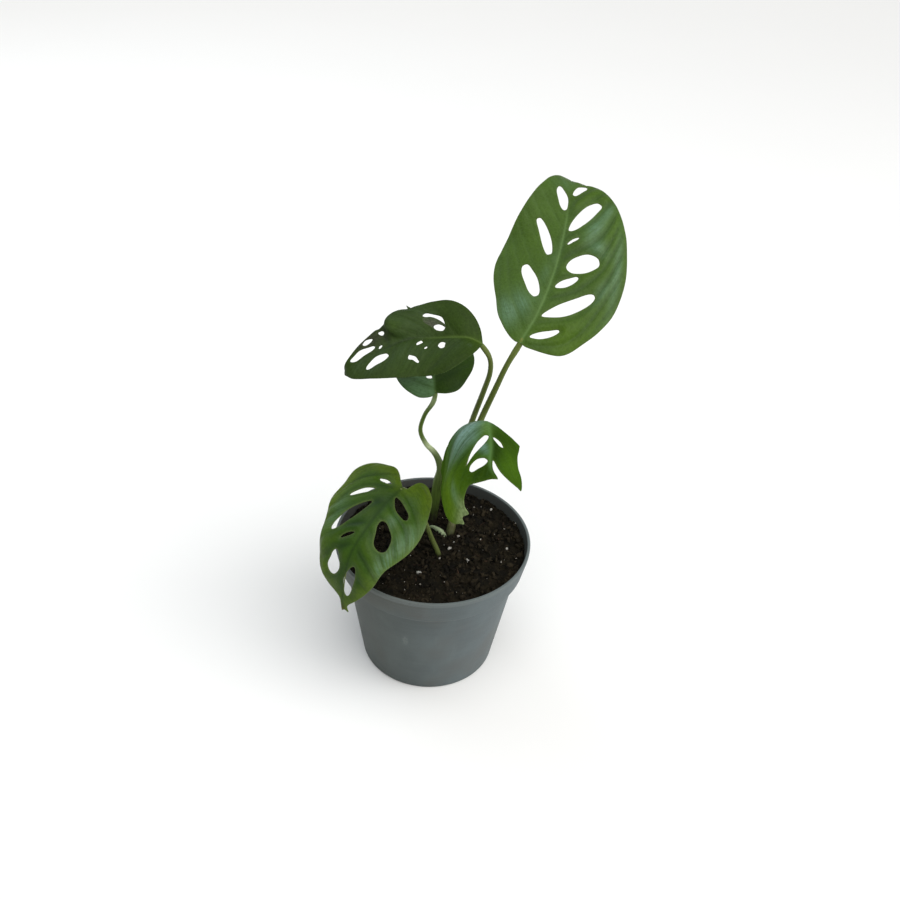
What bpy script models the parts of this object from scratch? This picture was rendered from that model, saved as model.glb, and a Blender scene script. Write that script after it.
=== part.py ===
"""A monstera adansonii in a 12 cm nursery pot.

Blender 4.5, metres, +Z up. The origin is on the pot's axis at the middle of its base, and the viewer
stands at -Y. Sizes are written in millimetres and scaled by MM.

Each leaf is one solid: a blade with its holes, and the petiole that carries it. A blade is drawn flat, as
an outline and its holes in (side, along) millimetres, where along runs down the midrib from the petiole
to the tip and side is positive on the right as seen from above with the tip ahead. It is split into
triangles once, laid on a bent surface and given its thickness, so that both faces are split alike.
"""

from dataclasses import dataclass
from math import cos, log, pi, radians, sin, tau

import bmesh
import bpy
import numpy as np
from mathutils import Vector
from mathutils.geometry import delaunay_2d_cdt

MM = 0.001

# Pot
POT_HEIGHT = 89.4
RIM_RADIUS = 60.0
LIP_HEIGHT = 3.0
LIP_PROUD = 0.6
LIP_ROUND = 0.6
COLLAR_FOOT_RADIUS = 57.1
COLLAR_FOOT_HEIGHT = 73.5
BODY_TOP_RADIUS = 53.2
BASE_RADIUS = 41.3
BASE_ROUND = 1.0
WALL = 1.3
FLOOR = 2.0
POT_SIDES = 64
DRAIN_COUNT = 5
DRAIN_RADIUS = 3.5
DRAIN_RING = 27.0
DRAIN_SIDES = 16

# Soil
SOIL_HEIGHT = 82.0
SOIL_GAP = 0.3
SOIL_RINGS = 9
SOIL_SIDES = 56
SOIL_MOUND = 1.6
SOIL_MOUND_RADIUS = 26.0
SOIL_MOUND_CENTRE = (0.0, 12.0)
# The lumps on its top, each a wave as (length, direction in degrees, height, phase in radians)
SOIL_WAVES = ((46.0, 12.0, 0.5, 0.6), (37.0, 101.0, 0.45, 1.1), (22.0, 47.0, 0.3, 2.0),
              (24.0, 126.0, 0.3, 0.0))
FOOT_GAP = 0.3

# Blades
BLADE_THICKNESS = 0.8
EDGE_STEP = 3.4
GRID_STEP = 6.0
# How near the inner points come to an edge and to the midrib, in grid steps
EDGE_MARGIN = 0.45
MIDRIB_MARGIN = 0.4
MIDRIB_POINTS = 20
# A hole's outline is about this many times its length, and a lower power gives it rounder ends
HOLE_GIRTH = 2.2
HOLE_POWER = 0.55
HOLE_LEAST_POINTS = 8

# Petioles and stems
MIDRIB_SUNK = 0.35
MIDRIB_RUN = 9.0
PETIOLE_TIP_RADIUS = 0.75
STEM_BEVEL_RESOLUTION = 2
STEM_POINT_STEP = 4.0

PLANT_NAME = "monstera_adansonii"


@dataclass(frozen=True)
class Hole:
    """A hole in a blade, drawn flat as a drop.

    inner and outer are its ends as (side, along), width is its widest, and full is how far along from
    the inner end it is widest.
    """

    inner: tuple
    outer: tuple
    width: float
    full: float = 0.5

    def outline(self, count):
        """The drop's points: its half width is a sine of the way along, raised to round the ends."""
        start = np.array(self.inner, float)
        axis = np.array(self.outer, float) - start
        across = np.array((-axis[1], axis[0])) / np.hypot(*axis)
        turn = np.arange(count) * tau / count
        way = (1 - np.cos(turn)) / 2
        power = log(0.5) / log(self.full)
        half = np.sin(pi * way**power).clip(0) ** HOLE_POWER * self.width / 2
        return start + way[:, None] * axis + (np.sign(np.sin(turn)) * half)[:, None] * across

    def count(self):
        """How many points its outline gets, an even number."""
        length = np.hypot(*np.subtract(self.outer, self.inner))
        return max(HOLE_LEAST_POINTS, 2 * round((HOLE_GIRTH * length + self.width) / EDGE_STEP / 2))


@dataclass(frozen=True)
class Leaf:
    """One leaf.

    midrib is the blade's midrib as points in space, base first. faces are directions that its upper face
    looks in, evenly from base to tip. right and left are the flat outline from the base to the tip.
    bend_right and bend_left are (degrees at the midrib, degrees more for each millimetre out), evenly
    from base to tip, and hang is the steepest that the blade gets. petiole is its path as
    (x, y, z, radius), foot first, and it ends at the midrib's base.
    """

    name: str
    colour: tuple
    midrib: tuple
    faces: tuple
    right: tuple
    left: tuple
    bend_right: tuple
    bend_left: tuple
    holes: tuple
    petiole: tuple
    hang: float = 180.0


LEAF_A = Leaf(
    name="leaf_a",
    colour=(0.075, 0.165, 0.035),
    midrib=((42.3, 20, 217.4), (51.7, 33, 230.8), (59.5, 52, 245.7), (64.8, 74, 260.4), (67.2, 92, 270.2),
            (68.4, 104, 275), (69.3, 114, 276.3), (70.6, 124, 273), (72, 131, 266)),
    faces=((-0.1, -0.75, 0.6), (-0.1, -0.75, 0.65), (0, -0.3, 0.9)),
    right=((5, -0.6), (18, 2), (25, 6), (30.5, 15), (36, 24), (39.5, 33), (40.5, 44), (40, 55), (37.5, 68),
           (34.5, 80), (29.5, 93), (22.8, 105.5), (15.8, 117), (8.5, 127.5), (3.5, 134)),
    left=((-3, -0.5), (-8, 1), (-15, 5), (-22, 11), (-28.5, 23), (-34.5, 37), (-36.5, 48), (-35, 60),
          (-32.5, 71), (-29.5, 82), (-25.5, 92), (-20.3, 103), (-14.5, 114), (-8.5, 124.5), (-3.5, 133)),
    bend_right=((-8, 0.35), (-8, 0.4), (-8, 0.4), (-8, 0.5), (3, 0.9)),
    bend_left=((12, 0.2), (12, 0.3), (10, 0.3), (-7, 0.1), (-12, 0.1)),
    holes=(
        Hole((-5.3, 29.7), (-18.3, 49.6), 8.6, 0.52),
        Hole((-5.6, 58.5), (-16.4, 83.2), 5.2, 0.5),
        Hole((-1.8, 90.2), (-6.6, 108.7), 5.6, 0.48),
        Hole((3, 5.7), (15.6, 15.7), 3.8, 0.5),
        Hole((2.7, 19.4), (26.5, 39.9), 7.4, 0.54),
        Hole((3.4, 38.2), (14.1, 46.8), 4.2, 0.5),
        Hole((6, 51.2), (23.2, 58.8), 11.6, 0.54),
        Hole((3.3, 66.4), (8.9, 71.6), 1.7, 0.5),
        Hole((2.5, 75.7), (18.5, 97), 8.0, 0.52),
        Hole((2.6, 102), (9.3, 114.9), 4.8, 0.5),
    ),
    petiole=((17.2, 22.0, 126.4, 2.0), (19.8, 23.6, 139, 1.95), (24.8, 25.6, 161.5, 1.9),
             (31.2, 24, 184, 1.75), (36.2, 22, 201, 1.6)),
)
LEAF_B = Leaf(
    name="leaf_b",
    colour=(0.045, 0.105, 0.022),
    midrib=((21.6, 15, 218), (11.7, 14, 222.1), (-4.1, 16, 219.5), (-18.9, 14, 218.6), (-31.8, 8, 215.5),
            (-42.5, 2, 212), (-50.5, -1, 208), (-53.5, 0.8, 204), (-52.3, 5, 200.5)),
    faces=((0.1, -0.35, 0.94), (0, -0.35, 0.94), (-0.5, -0.4, 0.8), (-0.9, -0.5, 0.4)),
    right=((7, 3.5), (14, 9), (20.5, 15.5), (23.3, 22), (22.8, 29), (21, 36), (19.8, 44), (18, 48),
           (15.2, 51.5), (14.8, 57), (12.6, 63.5), (9.4, 70.5), (6, 77), (2.6, 83)),
    left=((-10, 5), (-17, 9), (-22.5, 12.8), (-26, 18), (-27, 26), (-26.7, 36), (-25.5, 47), (-23.5, 57),
          (-20.5, 63), (-17, 69), (-13, 74), (-8.6, 78.8), (-4, 83)),
    bend_right=((-25, 0.5), (-20, 0.6), (-10, 0.8), (-5, 0.8)),
    bend_left=((-15, 0.5), (-10, 0.6), (0, 0.8), (0, 1.0)),
    holes=(
        Hole((4.2, 23), (14.3, 33.5), 7.5, 0.5),
        Hole((9.6, 54.0), (13.0, 54.4), 2.8, 0.5),
        Hole((10.0, 60), (8.8, 66.5), 3.2, 0.5),
        Hole((4.0, 61.4), (2.5, 77.8), 4.6, 0.5),
        Hole((1.3, 60.3), (3.0, 57.2), 1.7, 0.5),
        Hole((-1.5, 34), (-5, 39.3), 2.2, 0.5),
        Hole((-6.6, 32.4), (-8.9, 35.3), 1.8, 0.5),
        Hole((-3.6, 24.6), (-9, 22.4), 4.2, 0.5),
        Hole((-12, 47.6), (-17.2, 41), 4.0, 0.4),
        Hole((-5, 57.8), (-7.8, 71.8), 4.6, 0.4),
    ),
    petiole=((10.3, 23.9, 111, 1.9), (12.4, 25.8, 126, 1.9), (15.4, 25.4, 143, 1.85),
             (19.5, 24, 162.4, 1.75), (24.5, 22, 183.7, 1.65), (27, 20, 197.3, 1.55),
             (25.9, 18, 207.8, 1.45)),
)
LEAF_C = Leaf(
    name="leaf_c",
    colour=(0.05, 0.12, 0.028),
    midrib=((-3.3, 14, 184.6), (-4.9, 24, 189.8), (-6.8, 38, 192.1), (-8.8, 52, 194), (-13.4, 67, 196.9),
            (-19.7, 80, 198.4), (-26.1, 92, 197.1)),
    faces=((0, -0.3, 0.95), (0, -0.2, 0.98), (0, 0, 1)),
    right=((2.5, -0.3), (7, -0.5), (12, 0.9), (16, 4.5), (20.5, 12), (24.5, 22), (26.5, 33), (25, 43),
           (20.5, 51.5), (16, 57), (13.2, 62), (10.8, 64.9), (8, 66.3), (4.8, 66.6), (2.9, 70), (1.7, 77)),
    left=((-1.8, -1.9), (-5, -2.6), (-9.7, -1.8), (-14.2, 1.5), (-18.5, 6.3), (-21.5, 13), (-22.8, 22),
          (-22, 33), (-19, 45), (-14.5, 55), (-9.5, 62.5), (-5.5, 67), (-2.9, 71.5), (-1.6, 77)),
    bend_right=((0, 0.8), (0, 0.8), (5, 0.6)),
    bend_left=((0, 0.8), (5, 0.8), (10, 0.6)),
    holes=(
        Hole((-1.1, 10.3), (-4.4, 11.6), 2.4, 0.5),
        Hole((-1.7, 34.5), (-8.8, 49.5), 5.5, 0.5),
        Hole((-4.5, 21.5), (-15, 34.5), 5.5, 0.5),
        Hole((2.5, 33.5), (11.5, 45), 5.5, 0.5),
        Hole((3.2, 15), (14.5, 27), 6.0, 0.5),
        Hole((6.2, 54), (13.2, 56.2), 6.4, 0.5),
        Hole((-1.9, 54.5), (-4.8, 61), 2.4, 0.5),
    ),
    petiole=((-1.9, 20.2, 66, 2.4), (-1.3, 20.9, 81, 2.5), (-0.7, 24.2, 90, 2.8), (0, 27, 99, 3.1),
             (0.9, 28, 110, 3.2), (2.2, 27, 120.3, 2.7), (0.5, 25, 129.2, 2.1), (-2.5, 23, 136.5, 1.8),
             (-7.8, 21, 144.2, 1.5), (-11.2, 19, 154.8, 1.3), (-9, 17, 167, 1.25), (-4.6, 15, 177, 1.3)),
)
LEAF_D = Leaf(
    name="leaf_d",
    colour=(0.07, 0.16, 0.03),
    midrib=((25.5, 11, 166), (26.5, 2, 175.5), (27.3, -8, 180.5), (29, -30, 181.8), (28.4, -44, 183.3),
            (28.6, -53, 184.1), (30, -59, 184.1), (32.5, -64, 184.6)),
    faces=((0, -0.1, 0.98), (0, -0.2, 0.98), (0, -0.2, 0.98)),
    right=((5, -4), (13, -6.5), (23, -4), (32, 3.5), (38.5, 14), (42, 26), (42.6, 38), (42.2, 49),
           (40.6, 58), (39.6, 66), (38.8, 71.5), (36.4, 75.6), (33.4, 78.2), (31.2, 80.6), (29.4, 78.8),
           (27.2, 79.4), (24.2, 81.2), (22.9, 77.9), (20.7, 75.8), (17.8, 74.4), (14, 73.2), (9.5, 75),
           (6, 76.6), (2.6, 78.4)),
    left=((-4, -4), (-11, -5.5), (-18, -0.5), (-23, 8), (-24.3, 18), (-23, 29), (-21, 38), (-21.3, 46),
          (-24.5, 53), (-25.6, 62), (-22.5, 71), (-18.5, 76), (-14.5, 74.5), (-10, 68.5), (-5.5, 65),
          (-2.6, 60.5), (-1.7, 64), (-1.5, 71), (-1.8, 77)),
    bend_right=((-4, 2.85), (-2, 2.5), (10, 2.0), (25, 1.6)),
    bend_left=((25, 1.0), (30, 0.8), (35, 0.7), (35, 0.7)),
    hang=77.0,
    holes=(
        Hole((1.9, 37), (14, 60.3), 4.6, 0.35),
        Hole((2.1, 58.2), (11.8, 67.8), 7.0, 0.45),
        Hole((-2.2, 37.4), (-8.8, 41), 5.0, 0.5),
    ),
    petiole=((13.8, 16, 106, 1.7), (13.6, 17.1, 125, 1.65), (16, 17.3, 142, 1.5), (20.3, 15.5, 156, 1.4),
             (24, 12.8, 163.5, 1.35)),
)
LEAF_E = Leaf(
    name="leaf_e",
    colour=(0.085, 0.18, 0.035),
    midrib=((-18.8, -14, 136.6), (-28, -27, 133.7), (-36.7, -41, 127.6), (-44.5, -51, 116.8),
            (-47.5, -56, 103.8), (-48.3, -58, 93.3), (-48.8, -60.5, 81.5)),
    faces=((-0.1, -0.4, 0.9), (-0.3, -0.5, 0.8), (-0.5, -0.6, 0.6)),
    right=((4.5, -3.8), (9, -8), (14, -10.6), (20.5, -10), (28, -8.3), (32.5, -4.5), (34.8, 3), (34.4, 13),
           (34, 24), (32, 36), (27.5, 46), (25.5, 54), (22.5, 63), (17.5, 70.5), (11.5, 75.2), (5.5, 78),
           (2, 80.5)),
    left=((-2.4, -0.8), (-3, -4.5), (-4.8, -9.5), (-9, -10.8), (-13.5, -9.2), (-18.5, -5.2), (-23, 3),
          (-26.8, 12), (-28.8, 22), (-28.2, 32.5), (-25.5, 42), (-22.3, 51), (-20, 59), (-17.8, 66),
          (-13.5, 73), (-8.5, 78.7), (-3.6, 83.6), (-4.6, 87.4), (-2, 86.6)),
    bend_right=((5, 0.5), (5, 0.5), (0, 0.5)),
    bend_left=((5, 0.8), (5, 1.0), (5, 1.0)),
    holes=(
        Hole((-1.8, 8.2), (-15.6, 16.6), 6.0, 0.6),
        Hole((-5.2, 26), (-15.4, 41.2), 9.6, 0.56),
        Hole((-4.4, 57.3), (-2.6, 77), 6.0, 0.5),
        Hole((7.2, 1.7), (15.4, 2.1), 2.2, 0.5),
        Hole((12.4, 9.6), (23.8, 19), 3.2, 0.5),
        Hole((8.2, 17.8), (20.9, 44.8), 6.4, 0.52),
        Hole((5.2, 39.5), (11.5, 46.2), 2.0, 0.5),
        Hole((10.2, 52.9), (9.6, 67.6), 9.2, 0.6),
    ),
    petiole=((6.2, -11.4, 68, 1.6), (5.2, -10.8, 80, 1.6), (3.2, -9.6, 86.5, 1.6), (-0.1, -8.2, 93.5, 1.55),
             (-4.5, -7.6, 105.2, 1.5), (-9.2, -7, 116.5, 1.4), (-14.2, -8.6, 127.8, 1.35)),
)
LEAVES = (LEAF_A, LEAF_B, LEAF_C, LEAF_D, LEAF_E)

STEM_PATH = ((9.4, 4.6, 66, 2.5), (9.7, 6.2, 77, 2.5), (10.2, 8.8, 84, 2.55), (11.4, 14.2, 90.5, 2.5),
             (11.5, 18.7, 98, 2.35), (11.7, 20.1, 104, 2.2), (13.4, 20.6, 112, 2.1), (17.1, 21.9, 126, 1.9))
STEM_COLOUR = (0.16, 0.21, 0.05)
ROOT_PATH = ((4.7, 7, 74, 1.8), (4.9, 7.8, 81.5, 1.9), (3.7, 9.8, 84.9, 1.9), (1.4, 12.4, 85.4, 1.6),
             (-1, 14.5, 84.2, 1.35), (-2.7, 15.4, 80.5, 1.15), (-2.9, 15.6, 75, 1.0))
ROOT_COLOUR = (0.62, 0.6, 0.42)
POT_COLOUR = (0.16, 0.175, 0.165)
SOIL_COLOUR = (0.022, 0.016, 0.012)


def clear_scene():
    for obj in list(bpy.data.objects):
        bpy.data.objects.remove(obj, do_unlink=True)


def new_collection(name, cutters=False):
    collection = bpy.data.collections.new(name)
    bpy.context.scene.collection.children.link(collection)
    collection.hide_render = cutters
    return collection


def material(name, colour, roughness, metallic=0.0):
    made = bpy.data.materials.new(name)
    made.use_nodes = True
    shader = made.node_tree.nodes["Principled BSDF"]
    shader.inputs["Base Color"].default_value = (*colour, 1.0)
    shader.inputs["Roughness"].default_value = roughness
    shader.inputs["Metallic"].default_value = metallic
    made.diffuse_color = (*colour, 1.0)
    return made


def add_object(name, mesh, collection, finish=None, smooth=True):
    obj = bpy.data.objects.new(name, mesh)
    collection.objects.link(obj)
    if finish:
        mesh.materials.clear()
        mesh.materials.append(finish)
    if smooth:
        mesh.shade_smooth()
    return obj


def applied(obj):
    """Replaces the object's mesh with its evaluated one, and drops its modifiers."""
    graph = bpy.context.evaluated_depsgraph_get()
    mesh = bpy.data.meshes.new_from_object(obj.evaluated_get(graph))
    obj.modifiers.clear()
    old = obj.data
    obj.data = mesh
    bpy.data.meshes.remove(old)
    return obj


def boolean(target, other, operation):
    """Joins or cuts with an exact Boolean, and hides the other object."""
    step = target.modifiers.new(operation.title(), "BOOLEAN")
    step.operation = operation
    step.solver = "EXACT"
    step.object = other
    other.hide_render = True
    other.display_type = "WIRE"


def spline(points, step):
    """Points about a step apart on a Catmull-Rom curve through the given ones, with its ends held."""
    points = np.array(points, float)
    ends = np.vstack((2 * points[0] - points[1], points, 2 * points[-1] - points[-2]))
    found = [points[:1]]
    for i in range(len(points) - 1):
        before, start, end, after = ends[i:i + 4]
        count = max(1, round(np.linalg.norm((end - start)[:3]) / step))
        t = (np.arange(count) + 1)[:, None] / count
        found.append(0.5 * (2 * start + (end - before) * t
                            + (2 * before - 5 * start + 4 * end - after) * t**2
                            + (3 * start - before - 3 * end + after) * t**3))
    return np.vstack(found)


def unit(vectors):
    return vectors / np.linalg.norm(vectors, axis=-1, keepdims=True)


def evened(rows, reach):
    """Each row made the mean of the rows within reach of it."""
    held = np.pad(rows, ((reach, reach), (0, 0)), mode="edge")
    total = np.vstack((np.zeros(rows.shape[1]), np.cumsum(held, axis=0)))
    return (total[2 * reach + 1:] - total[:-2 * reach - 1]) / (2 * reach + 1)


class BentSurface:
    """The curved surface that a flat blade is laid on.

    The midrib is a smooth curve. At each place along it the blade leaves to either side at an angle below
    level, and bends down along an arc until it hangs at its steepest, and then runs straight.
    """

    FINE = 0.5
    EVEN = 8.0

    def __init__(self, leaf):
        self.leaf = leaf
        self.midrib = spline(leaf.midrib, self.FINE)
        gaps = np.linalg.norm(np.diff(self.midrib, axis=0), axis=1)
        self.along = np.concatenate(([0.0], np.cumsum(gaps)))
        self.length = self.along[-1]
        self.forward = unit(evened(np.gradient(self.midrib, self.along, axis=0), round(self.EVEN / self.FINE)))
        up = self.spread(np.array(leaf.faces, float), self.along)
        level = np.sum(up * self.forward, axis=-1, keepdims=True)
        self.up = unit(up - level * self.forward)
        self.side = np.cross(self.forward, self.up)

    def spread(self, values, along):
        """Values given evenly from base to tip, read at places along."""
        places = np.linspace(0, self.length, len(values))
        return np.stack([np.interp(along, places, values[:, k]) for k in range(values.shape[1])], axis=-1)

    def read(self, field, along):
        return np.stack([np.interp(along, self.along, field[:, k]) for k in range(3)], axis=-1)

    def place(self, flat, lift=0.0):
        """Where flat (side, along) points lie in space, raised by lift along the midrib's upward side."""
        flat = np.array(flat, float)
        side, along = flat[..., 0], flat[..., 1]
        held = along.clip(0, self.length)
        bend = np.where((side >= 0)[..., None],
                        self.spread(np.array(self.leaf.bend_right, float), held),
                        self.spread(np.array(self.leaf.bend_left, float), held))
        start, rate = np.radians(bend[..., 0]), np.radians(bend[..., 1])
        out = np.abs(side)
        curved = np.minimum(out, ((radians(self.leaf.hang) - start) / rate).clip(0))
        straight = out - curved
        steep = start + rate * curved
        level = (np.sin(steep) - np.sin(start)) / rate + straight * np.cos(steep)
        drop = (np.cos(start) - np.cos(steep)) / rate + straight * np.sin(steep)
        return (self.read(self.midrib, held) + (along - held)[..., None] * self.read(self.forward, held)
                + (np.sign(side) * level)[..., None] * self.read(self.side, held)
                + (lift - drop)[..., None] * self.read(self.up, held))


def inside(points, loop):
    """Which points lie in a closed loop, by how often a ray to the right crosses it."""
    start, end = loop, np.roll(loop, -1, axis=0)
    x, y = points[:, 0:1], points[:, 1:2]
    spans = (start[:, 1] > y) != (end[:, 1] > y)
    rise = np.where(end[:, 1] == start[:, 1], 1.0, end[:, 1] - start[:, 1])
    crossing = start[:, 0] + (y - start[:, 1]) * (end[:, 0] - start[:, 0]) / rise
    return (spans & (x < crossing)).sum(axis=1) % 2 == 1


def distance(points, loop):
    """How far each point is from the nearest place on a closed loop."""
    start = loop
    run = np.roll(loop, -1, axis=0) - start
    rel = points[:, None, :] - start
    share = (np.sum(rel * run, axis=-1) / np.sum(run * run, axis=-1)).clip(0, 1)
    return np.linalg.norm(rel - share[..., None] * run, axis=-1).min(axis=1)


def blade_outline(leaf, length):
    """The flat outline: up the right side from the base to the tip, and back down the left."""
    tip = (0.0, length)
    right = spline(((0.0, 0.0), *leaf.right, tip), EDGE_STEP)
    left = spline(((0.0, 0.0), *leaf.left, tip), EDGE_STEP)
    return np.vstack((right, left[1:-1][::-1]))


def three_way_grid(low, high):
    """Points of a grid of level-sided triangles over the box from low to high, even about the midrib."""
    row = GRID_STEP * sin(pi / 3)
    rows = np.arange(low[1], high[1], row)
    reach = GRID_STEP * np.ceil(max(-low[0], high[0]) / GRID_STEP)
    columns = np.arange(-reach, reach, GRID_STEP)
    shift = GRID_STEP / 2 * (np.arange(len(rows)) % 2)
    return np.stack(np.broadcast_arrays(columns + shift[:, None], rows[:, None]), axis=-1).reshape(-1, 2)


def split_flat(leaf, length):
    """The flat blade as (points, triangles), with edges kept along its outline, its holes and its midrib."""
    outline = blade_outline(leaf, length)
    holes = [hole.outline(hole.count()) for hole in leaf.holes]
    loops = [outline, *holes]
    rib = np.column_stack((np.zeros(MIDRIB_POINTS), np.linspace(0, length, MIDRIB_POINTS + 2)[1:-1]))
    grid = three_way_grid(outline.min(axis=0), outline.max(axis=0))
    grid = grid[inside(grid, outline) & (np.abs(grid[:, 0]) > GRID_STEP * MIDRIB_MARGIN)]
    for loop in loops:
        grid = grid[distance(grid, loop) > GRID_STEP * EDGE_MARGIN]
    for hole in holes:
        grid = grid[~inside(grid, hole)]
    points, edges = [], []
    for loop in loops:
        first = len(points)
        points.extend(loop)
        edges.extend((first + i, first + (i + 1) % len(loop)) for i in range(len(loop)))
    tip = int(np.argmin(np.hypot(outline[:, 0], outline[:, 1] - length)))
    ribs = [0, *range(len(points), len(points) + len(rib)), tip]
    points.extend(rib)
    edges.extend(zip(ribs, ribs[1:]))
    points.extend(grid)
    split = delaunay_2d_cdt([Vector(p) for p in points], edges, [], 0, 1e-5, False)
    flat = np.array([tuple(p) for p in split[0]])
    faces = np.array(split[2])
    middle = flat[faces].mean(axis=1)
    keep = inside(middle, outline)
    for hole in holes:
        keep &= ~inside(middle, hole)
    faces = faces[keep]
    corners = flat[faces]
    first, second = corners[:, 1] - corners[:, 0], corners[:, 2] - corners[:, 0]
    wrong = first[:, 0] * second[:, 1] - first[:, 1] * second[:, 0] < 0
    faces[wrong] = faces[wrong][:, ::-1]
    used = np.unique(faces)
    index = np.full(len(flat), -1)
    index[used] = np.arange(len(used))
    return flat[used], index[faces]


def tube(name, path, collection, step=STEM_POINT_STEP):
    """A closed tube along (x, y, z, radius) points, as a mesh."""
    points = spline(path, step)
    curve = bpy.data.curves.new(name, "CURVE")
    curve.dimensions = "3D"
    curve.bevel_depth = MM
    curve.bevel_resolution = STEM_BEVEL_RESOLUTION
    curve.use_fill_caps = True
    line = curve.splines.new("POLY")
    line.points.add(len(points) - 1)
    for point, (x, y, z, radius) in zip(line.points, points):
        point.co = (x * MM, y * MM, z * MM, 1.0)
        point.radius = radius
    drawn = bpy.data.objects.new(name + "_path", curve)
    collection.objects.link(drawn)
    graph = bpy.context.evaluated_depsgraph_get()
    mesh = bpy.data.meshes.new_from_object(drawn.evaluated_get(graph))
    bpy.data.objects.remove(drawn, do_unlink=True)
    mesh.name = name
    shape = bmesh.new()
    shape.from_mesh(mesh)
    bmesh.ops.remove_doubles(shape, verts=shape.verts, dist=1e-6)
    bmesh.ops.recalc_face_normals(shape, faces=shape.faces)
    shape.to_mesh(mesh)
    shape.free()
    return add_object(name, mesh, collection)


def build_leaf(leaf, parts, cutters):
    """One leaf: its bent blade, thickened, and the petiole joined to it along the first of the midrib."""
    surface = BentSurface(leaf)
    flat, faces = split_flat(leaf, surface.length)
    mesh = bpy.data.meshes.new(leaf.name)
    mesh.from_pydata((surface.place(flat) * MM).tolist(), [], faces.tolist())
    obj = add_object(leaf.name, mesh, parts, material(leaf.name, leaf.colour, 0.38))
    thick = obj.modifiers.new("Thickness", "SOLIDIFY")
    thick.thickness = BLADE_THICKNESS * MM
    thick.offset = 0.0
    thick.use_rim = True
    run = np.array([(0.0, 0.0), (0.0, MIDRIB_RUN / 2), (0.0, MIDRIB_RUN)])
    base_radius = leaf.petiole[-1][3]
    radii = np.linspace(base_radius, PETIOLE_TIP_RADIUS, len(run))
    under = surface.place(run, lift=-MIDRIB_SUNK)
    path = (*leaf.petiole, *np.column_stack((under, radii)))
    boolean(obj, tube(leaf.name + "_petiole", path, cutters), "UNION")


def inner_radius(height):
    """The pot's inside radius at a height above its step."""
    slope = (RIM_RADIUS - LIP_PROUD - COLLAR_FOOT_RADIUS) / (POT_HEIGHT - COLLAR_FOOT_HEIGHT)
    return COLLAR_FOOT_RADIUS - WALL + slope * (height - COLLAR_FOOT_HEIGHT)


def screw(name, profile, sides, collection, finish):
    """A turned solid from an (radius, height) profile in millimetres that runs down its outer side."""
    mesh = bpy.data.meshes.new(name)
    points = [(r * MM, 0.0, z * MM) for r, z in profile]
    mesh.from_pydata(points, [(i, i + 1) for i in range(len(points) - 1)], [])
    obj = add_object(name, mesh, collection, finish, smooth=False)
    turn = obj.modifiers.new("Turn", "SCREW")
    turn.axis = "Z"
    turn.steps = sides
    turn.render_steps = sides
    turn.use_merge_vertices = True
    turn.merge_threshold = 1e-5
    turn.use_smooth_shade = True
    return obj


def cylinder(name, radius, depth, sides, collection):
    """A closed cylinder about its origin, in millimetres."""
    shape = bmesh.new()
    bmesh.ops.create_cone(shape, cap_ends=True, segments=sides, radius1=radius * MM, radius2=radius * MM,
                          depth=depth * MM)
    mesh = bpy.data.meshes.new(name)
    shape.to_mesh(mesh)
    shape.free()
    return add_object(name, mesh, collection, smooth=False)


def build_pot(parts, cutters):
    """The pot: one turned wall from the rim's middle down the outside, under the floor and up the inside."""
    middle = inner_radius(POT_HEIGHT)
    lip_foot = POT_HEIGHT - LIP_HEIGHT
    step_height = COLLAR_FOOT_HEIGHT - WALL
    profile = (
        (middle, POT_HEIGHT),
        (RIM_RADIUS - LIP_ROUND, POT_HEIGHT),
        (RIM_RADIUS, POT_HEIGHT - LIP_ROUND),
        (RIM_RADIUS, lip_foot + LIP_ROUND),
        (RIM_RADIUS - LIP_PROUD, lip_foot),
        (COLLAR_FOOT_RADIUS, COLLAR_FOOT_HEIGHT),
        (BODY_TOP_RADIUS, step_height),
        (BASE_RADIUS, BASE_ROUND),
        (BASE_RADIUS - BASE_ROUND, 0.0),
        (0.0, 0.0),
    )
    inside_profile = (
        (0.0, FLOOR),
        (BASE_RADIUS - WALL, FLOOR),
        (BODY_TOP_RADIUS - WALL, step_height),
        (inner_radius(COLLAR_FOOT_HEIGHT), COLLAR_FOOT_HEIGHT),
        (middle, POT_HEIGHT),
    )
    obj = screw("pot", profile + inside_profile, POT_SIDES, parts, material("pot", POT_COLOUR, 0.5))
    for i in range(DRAIN_COUNT):
        angle = tau * i / DRAIN_COUNT
        drain = cylinder(f"drain_{i}", DRAIN_RADIUS, 2 * FLOOR + DRAIN_RADIUS, DRAIN_SIDES, cutters)
        drain.location = (DRAIN_RING * MM * cos(angle), DRAIN_RING * MM * sin(angle), FLOOR / 2 * MM)
        boolean(obj, drain, "DIFFERENCE")


def soil_rise(x, y):
    """How far the soil's top rises over its level: a low mound in the middle, and gentle lumps."""
    out = np.hypot(x - SOIL_MOUND_CENTRE[0], y - SOIL_MOUND_CENTRE[1]) / SOIL_MOUND_RADIUS
    rise = SOIL_MOUND * np.exp(-out**2)
    for length, direction, height, phase in SOIL_WAVES:
        way = x * cos(radians(direction)) + y * sin(radians(direction))
        rise = rise + height * np.sin(tau * way / length + phase)
    return rise


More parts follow.
